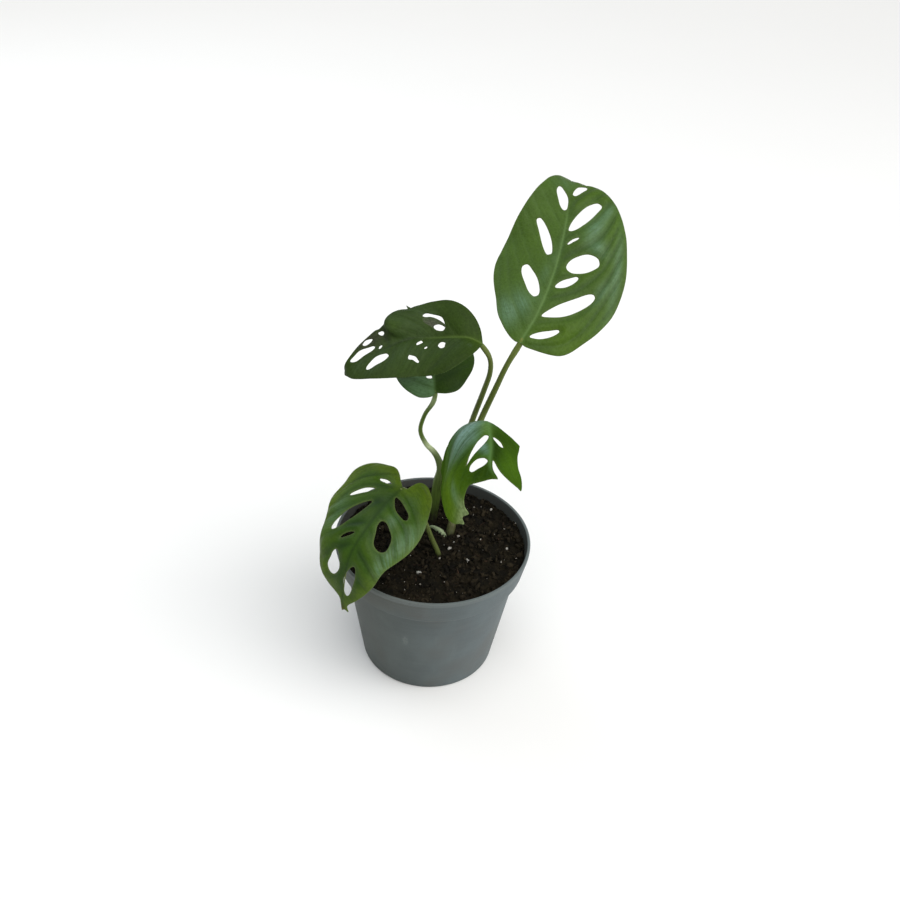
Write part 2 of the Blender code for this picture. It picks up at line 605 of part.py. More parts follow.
def build_soil(parts, cutters):
    """The soil: it fills the pot's inside, less a small gap, with a lumpy top and a hole for each foot."""
    top_radius = inner_radius(SOIL_HEIGHT) - SOIL_GAP
    rings = [(top_radius * (1 - i / SOIL_RINGS), SOIL_HEIGHT) for i in range(1, SOIL_RINGS + 1)]
    step_height = COLLAR_FOOT_HEIGHT - WALL
    profile = (
        *rings[::-1],
        (top_radius, SOIL_HEIGHT),
        (inner_radius(COLLAR_FOOT_HEIGHT) - SOIL_GAP, COLLAR_FOOT_HEIGHT + SOIL_GAP),
        (BODY_TOP_RADIUS - WALL - SOIL_GAP, step_height + SOIL_GAP),
        (BASE_RADIUS - WALL - SOIL_GAP, FLOOR + SOIL_GAP),
        (0.0, FLOOR + SOIL_GAP),
    )
    obj = screw("soil", profile, SOIL_SIDES, parts, material("soil", SOIL_COLOUR, 0.95))
    applied(obj)
    count = len(obj.data.vertices)
    points = np.empty(count * 3)
    obj.data.vertices.foreach_get("co", points)
    points = points.reshape(-1, 3) / MM
    top = points[:, 2] > SOIL_HEIGHT - SOIL_GAP
    points[top, 2] += soil_rise(points[top, 0], points[top, 1])
    obj.data.vertices.foreach_set("co", (points * MM).ravel())
    obj.data.update()
    for i, path in enumerate((STEM_PATH, ROOT_PATH, LEAF_C.petiole, LEAF_E.petiole)):
        wider = [(x, y, z - FOOT_GAP, radius + FOOT_GAP) for x, y, z, radius in path]
        boolean(obj, tube(f"foot_{i}", wider, cutters), "DIFFERENCE")


def main():
    clear_scene()
    parts = new_collection(PLANT_NAME)
    cutters = new_collection(PLANT_NAME + "_cutters", cutters=True)
    build_pot(parts, cutters)
    build_soil(parts, cutters)
    for leaf in LEAVES:
        build_leaf(leaf, parts, cutters)
    for name, path, colour in (("stem", STEM_PATH, STEM_COLOUR), ("aerial_root", ROOT_PATH, ROOT_COLOUR)):
        obj = tube(name, path, parts)
        obj.data.materials.append(material(name, colour, 0.5))


main()
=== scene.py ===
"""The looks of a monstera adansonii in a 12 cm nursery pot.

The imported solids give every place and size. Each is replaced here by a finer piece of the same form: blades
with quilted faces, sunk veins and round edges, petioles, a turned pot and crumbly soil with perlite.

Sizes are in millimetres and scaled by MM when a mesh is made. The origin is on the pot's axis at the middle
of its base, and the viewer stands at -Y. A blade is drawn flat in (side, along), where along runs down the
midrib from the petiole to the tip and side is positive on the right as seen from above with the tip ahead.
"""

import logging
from dataclasses import dataclass, field
from enum import Enum
from itertools import product
from math import cos, log, pi, radians, sin, tau

import bpy
import numpy as np
from mathutils import Matrix, Vector
from mathutils.geometry import delaunay_2d_cdt


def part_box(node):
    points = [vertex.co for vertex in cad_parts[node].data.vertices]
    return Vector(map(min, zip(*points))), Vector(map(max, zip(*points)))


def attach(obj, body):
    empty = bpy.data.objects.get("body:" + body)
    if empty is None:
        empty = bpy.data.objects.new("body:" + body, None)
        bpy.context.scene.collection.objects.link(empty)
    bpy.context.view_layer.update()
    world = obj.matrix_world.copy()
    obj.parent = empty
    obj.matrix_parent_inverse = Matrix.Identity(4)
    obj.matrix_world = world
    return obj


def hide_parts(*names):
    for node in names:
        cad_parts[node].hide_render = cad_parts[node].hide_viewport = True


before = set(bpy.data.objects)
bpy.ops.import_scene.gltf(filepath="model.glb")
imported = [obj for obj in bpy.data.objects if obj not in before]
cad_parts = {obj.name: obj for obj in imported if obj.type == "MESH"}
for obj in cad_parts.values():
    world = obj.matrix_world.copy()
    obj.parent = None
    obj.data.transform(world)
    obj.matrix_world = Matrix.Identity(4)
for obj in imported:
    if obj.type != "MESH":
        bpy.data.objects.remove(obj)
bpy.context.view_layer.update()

LOG = logging.getLogger("plant")
MM = 0.001
BODY = "root"
UV_NAME = "flat"
UV_SPAN = 160.0
Colour = tuple[float, float, float]
Flat = tuple[float, float]
Place = tuple[float, float, float]
Four = tuple[float, float, float, float]


# Shader building


class Wire:
    """A number that flows through a material, for use in Python arithmetic."""

    def __init__(self, recipe: "Recipe", socket: bpy.types.NodeSocket) -> None:
        """Keeps the output socket and the recipe that it belongs to."""
        self.recipe, self.socket = recipe, socket

    def _with(self, operation: str, first: "Wire | float", second: "Wire | float") -> "Wire":
        """A Math node on two values."""
        return self.recipe.node("ShaderNodeMath", {"operation": operation}, {0: first, 1: second})

    def __add__(self, other: "Wire | float") -> "Wire":
        """Sum."""
        return self._with("ADD", self, other)

    def __sub__(self, other: "Wire | float") -> "Wire":
        """Difference."""
        return self._with("SUBTRACT", self, other)

    def __mul__(self, other: "Wire | float") -> "Wire":
        """Product."""
        return self._with("MULTIPLY", self, other)

    def __rsub__(self, other: float) -> "Wire":
        """Difference from a number."""
        return self._with("SUBTRACT", other, self)

    __radd__ = __add__
    __rmul__ = __mul__


class Recipe:
    """One material and the nodes that make it."""

    def __init__(self, name: str) -> None:
        """Starts a material with its Principled shader.

        Args:
            name: The material's name.
        """
        self.material = bpy.data.materials.new(name)
        self.material.use_nodes = True
        self.tree = self.material.node_tree
        self.shader = self.tree.nodes["Principled BSDF"]

    def plug(self, socket: bpy.types.NodeSocket, value: object) -> None:
        """Sets a socket to a value, or links a wire to it.

        Args:
            socket: The input socket.
            value: A Wire, a number, or a tuple for a colour or a vector.
        """
        if isinstance(value, Wire):
            self.tree.links.new(value.socket, socket)
        elif isinstance(value, tuple) and socket.type == "RGBA":
            socket.default_value = (*value, 1.0)
        else:
            socket.default_value = value

    def node(self, kind: str, settings: dict | None = None, sockets: dict | None = None,
             out: int | str = 0) -> Wire:
        """Adds a node.

        Args:
            kind: The node's Blender type.
            settings: Properties that are set first, such as a Math node's operation.
            sockets: Values or wires by input name or number.
            out: The output that is wanted.

        Returns:
            The wanted output.
        """
        made = self.tree.nodes.new(kind)
        for name, value in (settings or {}).items():
            setattr(made, name, value)
        for key, value in (sockets or {}).items():
            self.plug(made.inputs[key], value)
        return Wire(self, made.outputs[out])

    def mix(self, share: "Wire | float", first: object, second: object, how: str = "MIX") -> Wire:
        """A colour between two, by a share that is held within 0 and 1."""
        return self.node("ShaderNodeMix", {"data_type": "RGBA", "blend_type": how},
                         {0: share, 6: first, 7: second}, out=2)

    def coats(self, colour: object, *coats: tuple[object, object]) -> object:
        """A colour under coats that are laid on one after the other.

        Args:
            colour: The ground.
            coats: A share and a colour for each.

        Returns:
            The colour on top.
        """
        for share, coat in coats:
            colour = self.mix(share, colour, coat)
        return colour

    def step(self, value: Wire, low: float, high: float) -> Wire:
        """0 below low, 1 above high and smooth between, or falling if low is above high."""
        return self.node("ShaderNodeMapRange", {"interpolation_type": "SMOOTHSTEP"},
                         {"Value": value, "From Min": low, "From Max": high})

    def space(self, x: float = 1.0, y: float = 1.0, z: float = 1.0) -> Wire:
        """Object coordinates in millimetres, multiplied each way by a number."""
        place = self.node("ShaderNodeTexCoord", out="Object")
        return self.node("ShaderNodeMapping", None, {"Vector": place, "Scale": (x / MM, y / MM, z / MM)})

    def skin(self, u: float, v: float) -> Wire:
        """The piece's own UV coordinates, multiplied each way by a number."""
        place = self.node("ShaderNodeUVMap", {"uv_map": UV_NAME})
        return self.node("ShaderNodeMapping", None, {"Vector": place, "Scale": (u, v, 1.0)})

    def part(self, place: Wire, axis: str) -> Wire:
        """One coordinate of a place."""
        return self.node("ShaderNodeSeparateXYZ", None, {0: place}, axis)

    def noise(self, place: Wire, scale: float, detail: float = 3.0, rough: float = 0.55) -> Wire:
        """Noise of about 0.25 to 0.75."""
        return self.node("ShaderNodeTexNoise", None,
                         {"Vector": place, "Scale": scale, "Detail": detail, "Roughness": rough})

    def cells(self, place: Wire, scale: float) -> Wire:
        """How far each place is from the edge of its cell in a Voronoi pattern."""
        return self.node("ShaderNodeTexVoronoi", {"feature": "DISTANCE_TO_EDGE"},
                         {"Vector": place, "Scale": scale}, "Distance")

    def attribute(self, name: str) -> Wire:
        """A number that the mesh carries at each point."""
        return self.node("ShaderNodeAttribute", {"attribute_name": name}, out="Fac")

    def bump(self, height: Wire, depth: float) -> Wire:
        """A normal roughened by a height, whose unit is depth in millimetres."""
        return self.node("ShaderNodeBump", None,
                         {"Height": height, "Distance": depth * MM, "Strength": 1.0}, "Normal")

    def finish(self, **sockets: object) -> bpy.types.Material:
        """Sets the shader's own sockets.

        Args:
            sockets: Values or wires by the socket's name, with _ for a space.

        Returns:
            The material.
        """
        for name, value in sockets.items():
            self.plug(self.shader.inputs[name.replace("_", " ")], value)
        return self.material


def times(parts: Colour | Place, factor: float) -> Colour | Place:
    """A colour or a place multiplied by a number."""
    return tuple(factor * part for part in parts)


# Finishes


@dataclass(frozen=True)
class BladeFinish:
    """Living leaf tissue: mottled green, veins and rim of their own, a duller underside and dry brown ends.

    bloom is the blue-white colour of a painted sheen, laid where the waxy parts also shine by a real wax
    coat. warm is a yellower green, painted mostly as a glow of light shining through and light falling on
    the crests, and also the margin's own yellower tint. dark is the green of painted shade. rib_share,
    vein_share and rim_share say how strongly the midrib, the side veins and the edges are painted. The
    finest streaks run with the side veins, lane across them and along_lane along them, and net is how many
    cells the net of the smallest veins has in a millimetre.
    """

    name: str
    green: Colour
    # A yellower green, laid on mostly as painted glow of light.
    yellow_and_glow: Colour = (0.075, 0.13, 0.006)
    # The green of painted shade.
    dark: Colour = (0.014, 0.034, 0.004)
    painted_sheen: Colour = (0.08, 0.16, 0.085)
    rib: Colour = (0.13, 0.23, 0.05)
    under: Colour = (0.085, 0.15, 0.04)
    dry: Colour = (0.1, 0.055, 0.02)
    rim: Colour = (0.09, 0.13, 0.03)
    roughness: float = 0.42
    shine: float = 0.12
    wax: float = 0.3
    rib_share: float = 0.6
    vein_share: float = 0.1
    rim_share: float = 0.4
    streaks: float = 1.0
    lane: float = 0.75
    along_lane: float = 0.09
    net: float = 0.42
    relief: float = 0.12

    def material(self) -> bpy.types.Material:
        """The blade's material, which reads the blade's UV map and the numbers at its points.

        Returns:
            The material.
        """
        mat = Recipe(self.name)
        flat = mat.skin(UV_SPAN, UV_SPAN)
        rib, vein, rim, under, dry, dark, yellow_and_glow, painted_sheen, lane, out = (mat.attribute(name) for name in (
            Blade.RIB, Blade.VEIN, Blade.RIM, Blade.UNDER, Blade.DRY, Blade.PAINTED_SHADE, Blade.YELLOW_AND_GLOW, Blade.PAINTED_SHEEN,
            Blade.LANE, Blade.OUT))
        broad = mat.noise(mat.space(), 0.06, 2.0)
        fine = mat.noise(flat, 0.55, 4.0)
        lanes = mat.node("ShaderNodeCombineXYZ", None, {0: lane * self.lane, 1: out * self.along_lane})
        streak = mat.noise(lanes, 1.0, 4.0)
        light = mat.step(streak, 0.38, 0.62) * self.streaks
        # Painted sheen: a blue-white colour laid on where the patches say, stronger on the lit streaks; the
        # same places also get a real wax coat.
        sheen = painted_sheen * (1 - self.streaks * 0.5 + light * 0.7)
        net = mat.cells(flat, self.net)
        crackle = mat.mix(mat.step(fine, 0.4, 0.6), self.dry, times(self.dry, 0.6))
        colour = mat.coats(
            self.green,
            (mat.step(broad, 0.35, 0.68), times(self.green, 1.22)),
            # painted shade in the valleys and shaded places
            (dark, self.dark),
            # yellower green: mostly a painted glow of light shining through and falling on the crests, and
            # the margin's own tint
            (yellow_and_glow, self.yellow_and_glow),
            (mat.step(streak, 0.62, 0.36) * 0.22 * self.streaks, times(self.green, 0.6)),
            # painted sheen
            (sheen, self.painted_sheen),
            (mat.step(fine, 0.42, 0.7) * 0.25, times(self.green, 0.55)),
            (mat.step(net, 0.09, 0.0) * 0.08, self.rib),
            (under * 0.8, self.under),
            (vein * self.vein_share, self.rib),
            (rim * self.rim_share, self.rim),
            (rib * self.rib_share, self.rib),
            (dry, crackle),
        )
        height = (mat.step(net, 0.0, 0.3) * 0.5 + fine * 0.6 + streak * self.streaks) * (1 - rib * 0.7)
        return mat.finish(
            Base_Color=colour,
            Roughness=self.roughness + (fine - 0.5) * 0.18 + under * 0.2 + dry * 0.35,
            Normal=mat.bump(height, self.relief),
            Coat_Weight=sheen * self.wax,
            Coat_Roughness=0.3,
            Specular_IOR_Level=self.shine,
        )


@dataclass(frozen=True)
class StalkFinish:
    """Petiole and stem skin: olive, streaked along its length, with paler parts, marks and a darker foot.

    The paler parts include a painted highlight, and the foot is darkened by dirt and painted shade.
    """

    name: str
    green: Colour
    # Paler skin, real on the root and the knees, and a painted highlight on a petiole.
    pale: Colour = (0.35, 0.42, 0.13)
    brown: Colour = (0.05, 0.045, 0.018)
    # Near black of the foot: dirt and painted shade together.
    dirt: Colour = (0.016, 0.015, 0.008)
    brown_share: float = 0.25
    roughness: float = 0.42
    shine: float = 0.14

    def material(self) -> bpy.types.Material:
        """The skin's material, whose streaks run along the tube's UV map.

        Returns:
            The material.
        """
        mat = Recipe(self.name)
        streak = mat.noise(mat.skin(14.0, 1.4), 6.0, 4.0)
        spot = mat.noise(mat.skin(10.0, 10.0), 4.0, 3.0)
        colour = mat.coats(
            self.green,
            (mat.step(streak, 0.35, 0.7), times(self.green, 1.5)),
            # paler parts, among them a painted highlight
            (mat.attribute(Stalk.PALE_AND_HIGHLIGHT), self.pale),
            (mat.step(spot, 0.6, 0.72) * self.brown_share, self.brown),
            (mat.attribute(Stalk.BROWN), self.brown),
            # darker towards the foot, by dirt and painted shade
            (mat.attribute(Stalk.DIRT_AND_SHADE) * (0.55 + spot), self.dirt),
        )
        return mat.finish(
            Base_Color=colour,
            Roughness=self.roughness + (streak - 0.5) * 0.25,
            Normal=mat.bump(streak, 0.15),
            Specular_IOR_Level=self.shine,
        )


@dataclass(frozen=True)
class PotFinish:
    """Moulded grey-green plastic: a fine grain, faint handling marks and a dusting of soil near the rim.

    dull and faded multiply the colour at its left and right sides, a painted shade and a painted light,
    which lie at the two numbers of sides. The lip is painted lighter between lip_highlight_heights, a painted
    highlight.
    scratch is a scuffed place, stretched upwards. Inside, a crust of soil ends between crust_heights.
    """

    name: str = "pot_plastic"
    grey: Colour = (0.078, 0.095, 0.0925)
    dust: Colour = (0.045, 0.039, 0.03)
    # Real scuffs and water marks, and the painted highlight on the lip.
    scuff_and_highlight: Colour = (0.15, 0.172, 0.168)
    inner: Colour = (0.072, 0.072, 0.066)
    crust: Colour = (0.012, 0.0095, 0.007)
    brown: Colour = (0.085, 0.088, 0.078)
    # Painted shade at the left side and painted light at the right.
    left_shade_paint: Colour = (0.76, 0.73, 0.66)
    right_light_paint: Colour = (1.24, 1.26, 1.36)
    sides: Flat = (-60.0, 46.0)
    scratch: Place = (-12.5, -47.6, 19.0)
    # Where the painted highlight along the lip lies.
    lip_highlight_heights: Flat = (86.3, 87.3)
    dusty_heights: Flat = (74.0, 90.0)
    crust_heights: Flat = (93.0, 88.5)

    def material(self) -> bpy.types.Material:
        """The pot's material, on object coordinates.

        Returns:
            The material.
        """
        mat = Recipe(self.name)
        space = mat.space()
        height = mat.part(space, "Z")
        inner_wall = mat.attribute(Pot.INSIDE)
        cloud = mat.noise(space, 0.035, 4.0)
        grain = mat.noise(space, 2.4, 2.0)
        specks = mat.noise(space, 0.8, 5.0, 0.7)
        tint = mat.noise(space, 0.022, 2.0)
        drips = mat.noise(mat.space(z=0.18), 0.11, 3.0)
        rings = mat.noise(mat.space(0.02, 0.02, 0.42), 1.0, 3.0)
        gap = mat.node("ShaderNodeVectorMath", {"operation": "DISTANCE"},
                       {0: mat.space(z=0.4), 1: self.scratch}, "Value")
        # Painted highlight along the outside of the lip.
        lip = mat.step(height, *self.lip_highlight_heights) * (1 - inner_wall)
        near_rim = mat.step(height, *self.dusty_heights)
        crust = mat.step(height + specks * 9.0, *self.crust_heights)
        # Painted shade on the left side and painted light on the right, multiplied into the colour.
        side_light_paint = mat.mix(mat.step(mat.part(space, "X"), *self.sides), self.left_shade_paint, self.right_light_paint)
        colour = mat.coats(
            self.grey,
            (mat.step(cloud, 0.35, 0.7), times(self.grey, 1.28)),
            (mat.step(tint, 0.5, 0.68) * 0.6, self.brown),
            (mat.step(rings, 0.42, 0.66) * 0.3, times(self.grey, 1.22)),
            (mat.step(drips, 0.55, 0.78) * 0.15, self.scuff_and_highlight),
        )
        colour = mat.coats(
            mat.mix(1.0, colour, side_light_paint, "MULTIPLY"),
            (mat.step(gap, 3.0, 0.4) * mat.step(specks, 0.35, 0.6) * 0.7, self.scuff_and_highlight),
            # painted highlight on the lip
            (lip * 0.5, self.scuff_and_highlight),
            (mat.step(specks, 0.58, 0.7) * (0.1 + near_rim * 0.4), self.dust),
            (inner_wall * (0.7 + mat.step(specks, 0.45, 0.65) * 0.2), self.inner),
            (inner_wall * crust * 0.12, self.crust),
        )
        return mat.finish(
            Base_Color=colour,
            Roughness=0.55 + (cloud - 0.5) * 0.25 + near_rim * 0.08,
            Normal=mat.bump(grain + specks * 0.5, 0.06),
            Specular_IOR_Level=0.22,
        )


@dataclass(frozen=True)
class SoilFinish:
    """Damp peat: near black, with browner crumbs that differ by a number that each carries."""

    name: str
    dark: Colour = (0.0067, 0.0057, 0.0033)
    brown: Colour = (0.0385, 0.0295, 0.0158)
    roughness: float = 0.88

    def material(self) -> bpy.types.Material:
        """The soil's material.

        Returns:
            The material.
        """
        mat = Recipe(self.name)
        clump = mat.noise(mat.space(), 0.12, 3.0)
        grit = mat.noise(mat.space(), 1.3, 5.0, 0.7)
        colour = mat.coats(
            self.dark,
            (mat.step(clump, 0.4, 0.75) * 0.5, self.brown),
            (mat.attribute(Soil.TONE), self.brown),
            (mat.step(grit, 0.58, 0.72) * 0.35, times(self.brown, 1.7)),
        )
        return mat.finish(
            Base_Color=colour,
            Roughness=self.roughness - mat.step(clump, 0.55, 0.35) * 0.2,
            Normal=mat.bump(grit, 0.9),
            Specular_IOR_Level=0.1,
        )


@dataclass(frozen=True)
class PerliteFinish:
    """Popped volcanic glass: chalk white, pitted and a little soiled."""

    name: str = "perlite"
    white: Colour = (0.72, 0.71, 0.67)
    soiled: Colour = (0.28, 0.23, 0.17)

    def material(self) -> bpy.types.Material:
        """The grains' material.

        Returns:
            The material.
        """
        mat = Recipe(self.name)
        dirt = mat.noise(mat.space(), 0.7, 4.0)
        pits = mat.step(mat.cells(mat.space(), 2.2), 0.0, 0.3)
        colour = mat.coats(self.white, (mat.step(dirt, 0.45, 0.7) * 0.7, self.soiled),
                           (mat.attribute(Soil.TONE) * 0.75, self.soiled))
        return mat.finish(Base_Color=colour, Roughness=0.8, Normal=mat.bump(pits, 0.25))


@dataclass(frozen=True)
class FloorFinish:
    """A plain pale floor with the faintest mottling."""

    name: str = "pale_floor"
    pale: Colour = (0.87, 0.87, 0.868)

    def material(self) -> bpy.types.Material:
        """The floor's material.

        Returns:
            The material.
        """
        mat = Recipe(self.name)
        cloud = mat.noise(mat.space(MM, MM, MM), 3.0, 2.0)
        colour = mat.mix(cloud, self.pale, times(self.pale, 0.985))
        return mat.finish(Base_Color=colour, Roughness=0.9, Specular_IOR_Level=0.1)


# Curves, surfaces and meshes


def unit(vectors: np.ndarray) -> np.ndarray:
    """Vectors made one long."""
    return vectors / np.linalg.norm(vectors, axis=-1, keepdims=True)


def run_along(path: np.ndarray) -> np.ndarray:
    """How far along a path of points each point lies."""
    return np.concatenate(([0.0], np.cumsum(np.linalg.norm(np.diff(path, axis=0), axis=1))))


def full_turn(count: int) -> np.ndarray:
    """Angles evenly round a circle."""
    return np.arange(count) * tau / count


def spline(points: object, step: float) -> np.ndarray:
    """Points about a step apart on a Catmull-Rom curve.

    Each stretch between two given points is a cubic that leaves along the line between its neighbours.

    Args:
        points: The points that the curve passes through, of any number of dimensions.
        step: The wanted distance between the new points, in their first three dimensions.

    Returns:
        The new points, one a row.
    """
    points = np.array(points, float)
    ends = np.vstack((2 * points[0] - points[1], points, 2 * points[-1] - points[-2]))
    found = [points[:1]]
    for i in range(len(points) - 1):
        before, start, end, after = ends[i:i + 4]
        count = max(1, round(np.linalg.norm((end - start)[:3]) / step))
        t = (np.arange(count) + 1)[:, None] / count
        found.append(0.5 * (2 * start + (end - before) * t
                            + (2 * before - 5 * start + 4 * end - after) * t**2
                            + (3 * start - before - 3 * end + after) * t**3))
    return np.vstack(found)


def evened(rows: np.ndarray, reach: int) -> np.ndarray:
    """Each row made the mean of the rows within reach of it.

    Args:
        rows: Values, one sample a row.
        reach: How many rows to each side are taken in.

    Returns:
        As many rows.
    """
    held = np.pad(rows, ((reach, reach), (0, 0)), mode="edge")
    total = np.vstack((np.zeros(rows.shape[1]), np.cumsum(held, axis=0)))
    return (total[2 * reach + 1:] - total[:-2 * reach - 1]) / (2 * reach + 1)


def smooth(value: np.ndarray, low: float, high: float) -> np.ndarray:
    """0 below low, 1 above high and a smooth cubic between; falling if low is above high."""
    t = ((value - low) / (high - low)).clip(0, 1)
    return t * t * (3 - 2 * t)


def bell(offset: np.ndarray, width: float) -> np.ndarray:
    """1 at no offset, and falling to both sides as exp(-(offset / width)^2)."""
    return np.exp(-(offset / width) ** 2)


def inside(points: np.ndarray, loop: np.ndarray) -> np.ndarray:
    """Which points lie in a closed loop, by how often a ray to the right crosses it.

    Args:
        points: (side, along) points.
        loop: The loop's points in order.

    Returns:
        True for each point inside.
    """
    start, end = loop, np.roll(loop, -1, axis=0)
    x, y = points[:, 0:1], points[:, 1:2]
    spans = (start[:, 1] > y) != (end[:, 1] > y)
    rise = np.where(end[:, 1] == start[:, 1], 1.0, end[:, 1] - start[:, 1])
    crossing = start[:, 0] + (y - start[:, 1]) * (end[:, 0] - start[:, 0]) / rise
    return (spans & (x < crossing)).sum(axis=1) % 2 == 1


def distance(points: np.ndarray, loop: np.ndarray) -> np.ndarray:
    """How far each (side, along) point is from the nearest place on a closed loop.

    Args:
        points: The points.
        loop: The loop's points in order.

    Returns:
        A distance for each point.
    """
    run = np.roll(loop, -1, axis=0) - loop
    rel = points[:, None, :] - loop
    share = (np.sum(rel * run, axis=-1) / np.sum(run * run, axis=-1).clip(1e-12)).clip(0, 1)
    return np.linalg.norm(rel - share[..., None] * run, axis=-1).min(axis=1)


def ripples(points: np.ndarray, waves: int, shortest: float, longest: float, seed: int) -> np.ndarray:
    """A rough field: the sum of many level waves of random direction and phase, longer ones higher.

    Args:
        points: (x, y) or (x, y, z) places.
        waves: How many waves.
        shortest: The shortest wavelength.
        longest: The longest wavelength.
        seed: Fixes the random draw.

    Returns:
        A value for each point, about -1 to 1.
    """
    draw = np.random.default_rng(seed)
    lengths = shortest * (longest / shortest) ** draw.random(waves)
    ways = unit(draw.normal(size=(waves, points.shape[-1]))) / lengths[:, None]
    phases = draw.random(waves) * tau
    heights = np.sqrt(lengths)
    total = np.sin(points @ ways.T * tau + phases) @ heights
    return total / np.sqrt(np.sum(heights**2) * 2)


def linked(name: str, data: bpy.types.ID) -> bpy.types.Object:
    """Puts a mesh, a light or a camera in the scene.

    Args:
        name: The object's name.
        data: What it shows.

    Returns:
        The object.
    """
    obj = bpy.data.objects.new(name, data)
    bpy.context.scene.collection.objects.link(obj)
    return obj


def make_piece(name: str, points: np.ndarray, faces: np.ndarray, finishes: list, slot: str,
               replaces: bool = True, numbers: dict[str, np.ndarray] | None = None,
               uv: np.ndarray | None = None, which: np.ndarray | None = None) -> bpy.types.Object:
    """Puts a mesh in the scene, riding on the plant's one body.

    Args:
        name: The piece's name.
        points: Its points in millimetres.
        faces: Triangles as rows of point numbers.
        finishes: The finishes of its surface.
        slot: The record's material slot, which is also the name of its solid.
        replaces: Whether it stands for that solid.
        numbers: Values at its points, by attribute name.
        uv: A (u, v) for each point.
        which: The number of each face's finish.

    Returns:
        The object.
    """
    mesh = bpy.data.meshes.new(name)
    mesh.from_pydata((points * MM).tolist(), [], faces.tolist())
    for finish in finishes:
        mesh.materials.append(finish.material())
    for key, values in (numbers or {}).items():
        mesh.attributes.new(key, "FLOAT", "POINT").data.foreach_set("value", values.astype(np.float32))
    if uv is not None:
        layer = mesh.uv_layers.new(name=UV_NAME)
        layer.data.foreach_set("uv", uv[faces.reshape(-1)].astype(np.float32).ravel())
    if which is not None:
        mesh.polygons.foreach_set("material_index", which.astype(np.int32))
    mesh.shade_smooth()
    obj = linked(name, mesh)
    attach(obj, BODY)
    if replaces:
        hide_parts(slot)
    LOG.info("%s: %d points, %d faces", name, len(points), len(faces))
    return obj


def capped_tube(rings: np.ndarray) -> tuple[np.ndarray, np.ndarray]:
    """A closed tube of triangles through rings of points, with a middle point in each end.

    Args:
        rings: Points as (ring, place in ring, xyz), turning right-handed about the way the rings run.

    Returns:
        The points and the triangles, facing out.
    """
    rows, columns = rings.shape[:2]
    ring, spot = np.meshgrid(np.arange(rows - 1), np.arange(columns), indexing="ij")
    after = (spot + 1) % columns
    here, there = ring * columns, (ring + 1) * columns
    quads = np.stack((here + spot, here + after, there + after, there + spot), axis=-1).reshape(-1, 4)
    spot, after = spot[0], after[0]
    foot, last = rows * columns, (rows - 1) * columns
    low = np.column_stack((np.full(columns, foot), after, spot))
    high = np.column_stack((np.full(columns, foot + 1), last + spot, last + after))
    points = np.vstack((rings.reshape(-1, 3), rings[0].mean(axis=0), rings[-1].mean(axis=0)))
    return points, np.vstack((quads[:, [0, 1, 2]], quads[:, [0, 2, 3]], low, high))


# The plant's own shapes


@dataclass(frozen=True)
class Hole:
    """A hole in a blade, drawn flat as a blunt drop: its ends, its greatest width and where that is.

    The smaller power is, the blunter the ends are. uneven is how much the sides swell and bow.
    """

    inner: Flat
    outer: Flat
    width: float
    full: float = 0.5
    power: float = 0.44
    uneven: float = 0.07

    def outline(self, step: float) -> np.ndarray:
        """The drop's points: its half width is a sine of the way along, raised to blunt the ends.

        No two are alike: each side swells by waves of its own, and the middle bows a little to one side.

        Args:
            step: About how far apart the points are.

        Returns:
            (side, along) points in order.
        """
        start = np.array(self.inner, float)
        axis = np.array(self.outer, float) - start
        length = np.hypot(*axis)
        across = np.array((-axis[1], axis[0])) / length
        turn = full_turn(max(12, 2 * round((2.2 * length + self.width) / step / 2)))
        way = (1 - np.cos(turn)) / 2
        phase = 1.7 * self.inner[0] + 2.3 * self.inner[1]
        half = np.sin(pi * way ** (log(0.5) / log(self.full))).clip(0) ** self.power * self.width / 2
        waves = np.sin(2 * turn + phase) + 0.6 * np.sin(3 * turn + 2 * phase) + 0.5 * np.sin(5 * turn - phase)
        bow = 0.5 * self.uneven * length * sin(phase) * np.sin(pi * way) ** 2
        offset = np.sign(np.sin(turn)) * half * (1 + self.uneven * waves) + bow
        return start + way[:, None] * axis + offset[:, None] * across

    def middle(self) -> np.ndarray:
        """The point halfway along it."""
        return (np.array(self.inner, float) + np.array(self.outer, float)) / 2


@dataclass(frozen=True)
class Patch:
    """A soft-edged oval on a flat blade: its middle, its two radii, its strength and its tilt in degrees.

    The greater firm is, the flatter its middle and the steeper its edge. One that is kept stays on its own
    side of the midrib.
    """

    side: float
    along: float
    across: float
    length: float
    strength: float = 1.0
    tilt: float = 0.0
    firm: float = 1.0
    kept: bool = False

    def over(self, flat: np.ndarray) -> np.ndarray:
        """How strong it is at each place: a bell curve of the distance in its own radii.

        Args:
            flat: (side, along) points.

        Returns:
            A number for each point.
        """
        own = smooth(flat[:, 0] * np.sign(self.side), -0.4, 0.5) if self.kept else 1.0
        c, s = cos(radians(self.tilt)), sin(radians(self.tilt))
        x, y = flat[:, 0] - self.side, flat[:, 1] - self.along
        u, v = (c * x - s * y) / self.across, (s * x + c * y) / self.length
        return own * self.strength * np.exp(-(u * u + v * v) ** self.firm)


@dataclass(frozen=True)
class Crease:
    """A fold line on a flat blade: its two ends, how wide it is and how deep, in millimetres."""

    start: Flat
    end: Flat
    width: float
    depth: float

    def over(self, flat: np.ndarray) -> np.ndarray:
        """How far it moves each place, below 0 as it sinks: a bell curve of the distance to the line.

        Args:
            flat: (side, along) points.

        Returns:
            A number for each point.
        """
        start, run = np.array(self.start, float), np.subtract(self.end, self.start)
        share = ((flat - start) @ run / (run @ run)).clip(0, 1)
        gap = np.linalg.norm(flat - start - share[:, None] * run, axis=1)
        return -self.depth * bell(gap, self.width)


def total(forms: tuple[Patch | Crease, ...], flat: np.ndarray) -> np.ndarray:
    """What patches or creases come to together at each (side, along) point."""
    return sum((form.over(flat) for form in forms), np.zeros(len(flat)))


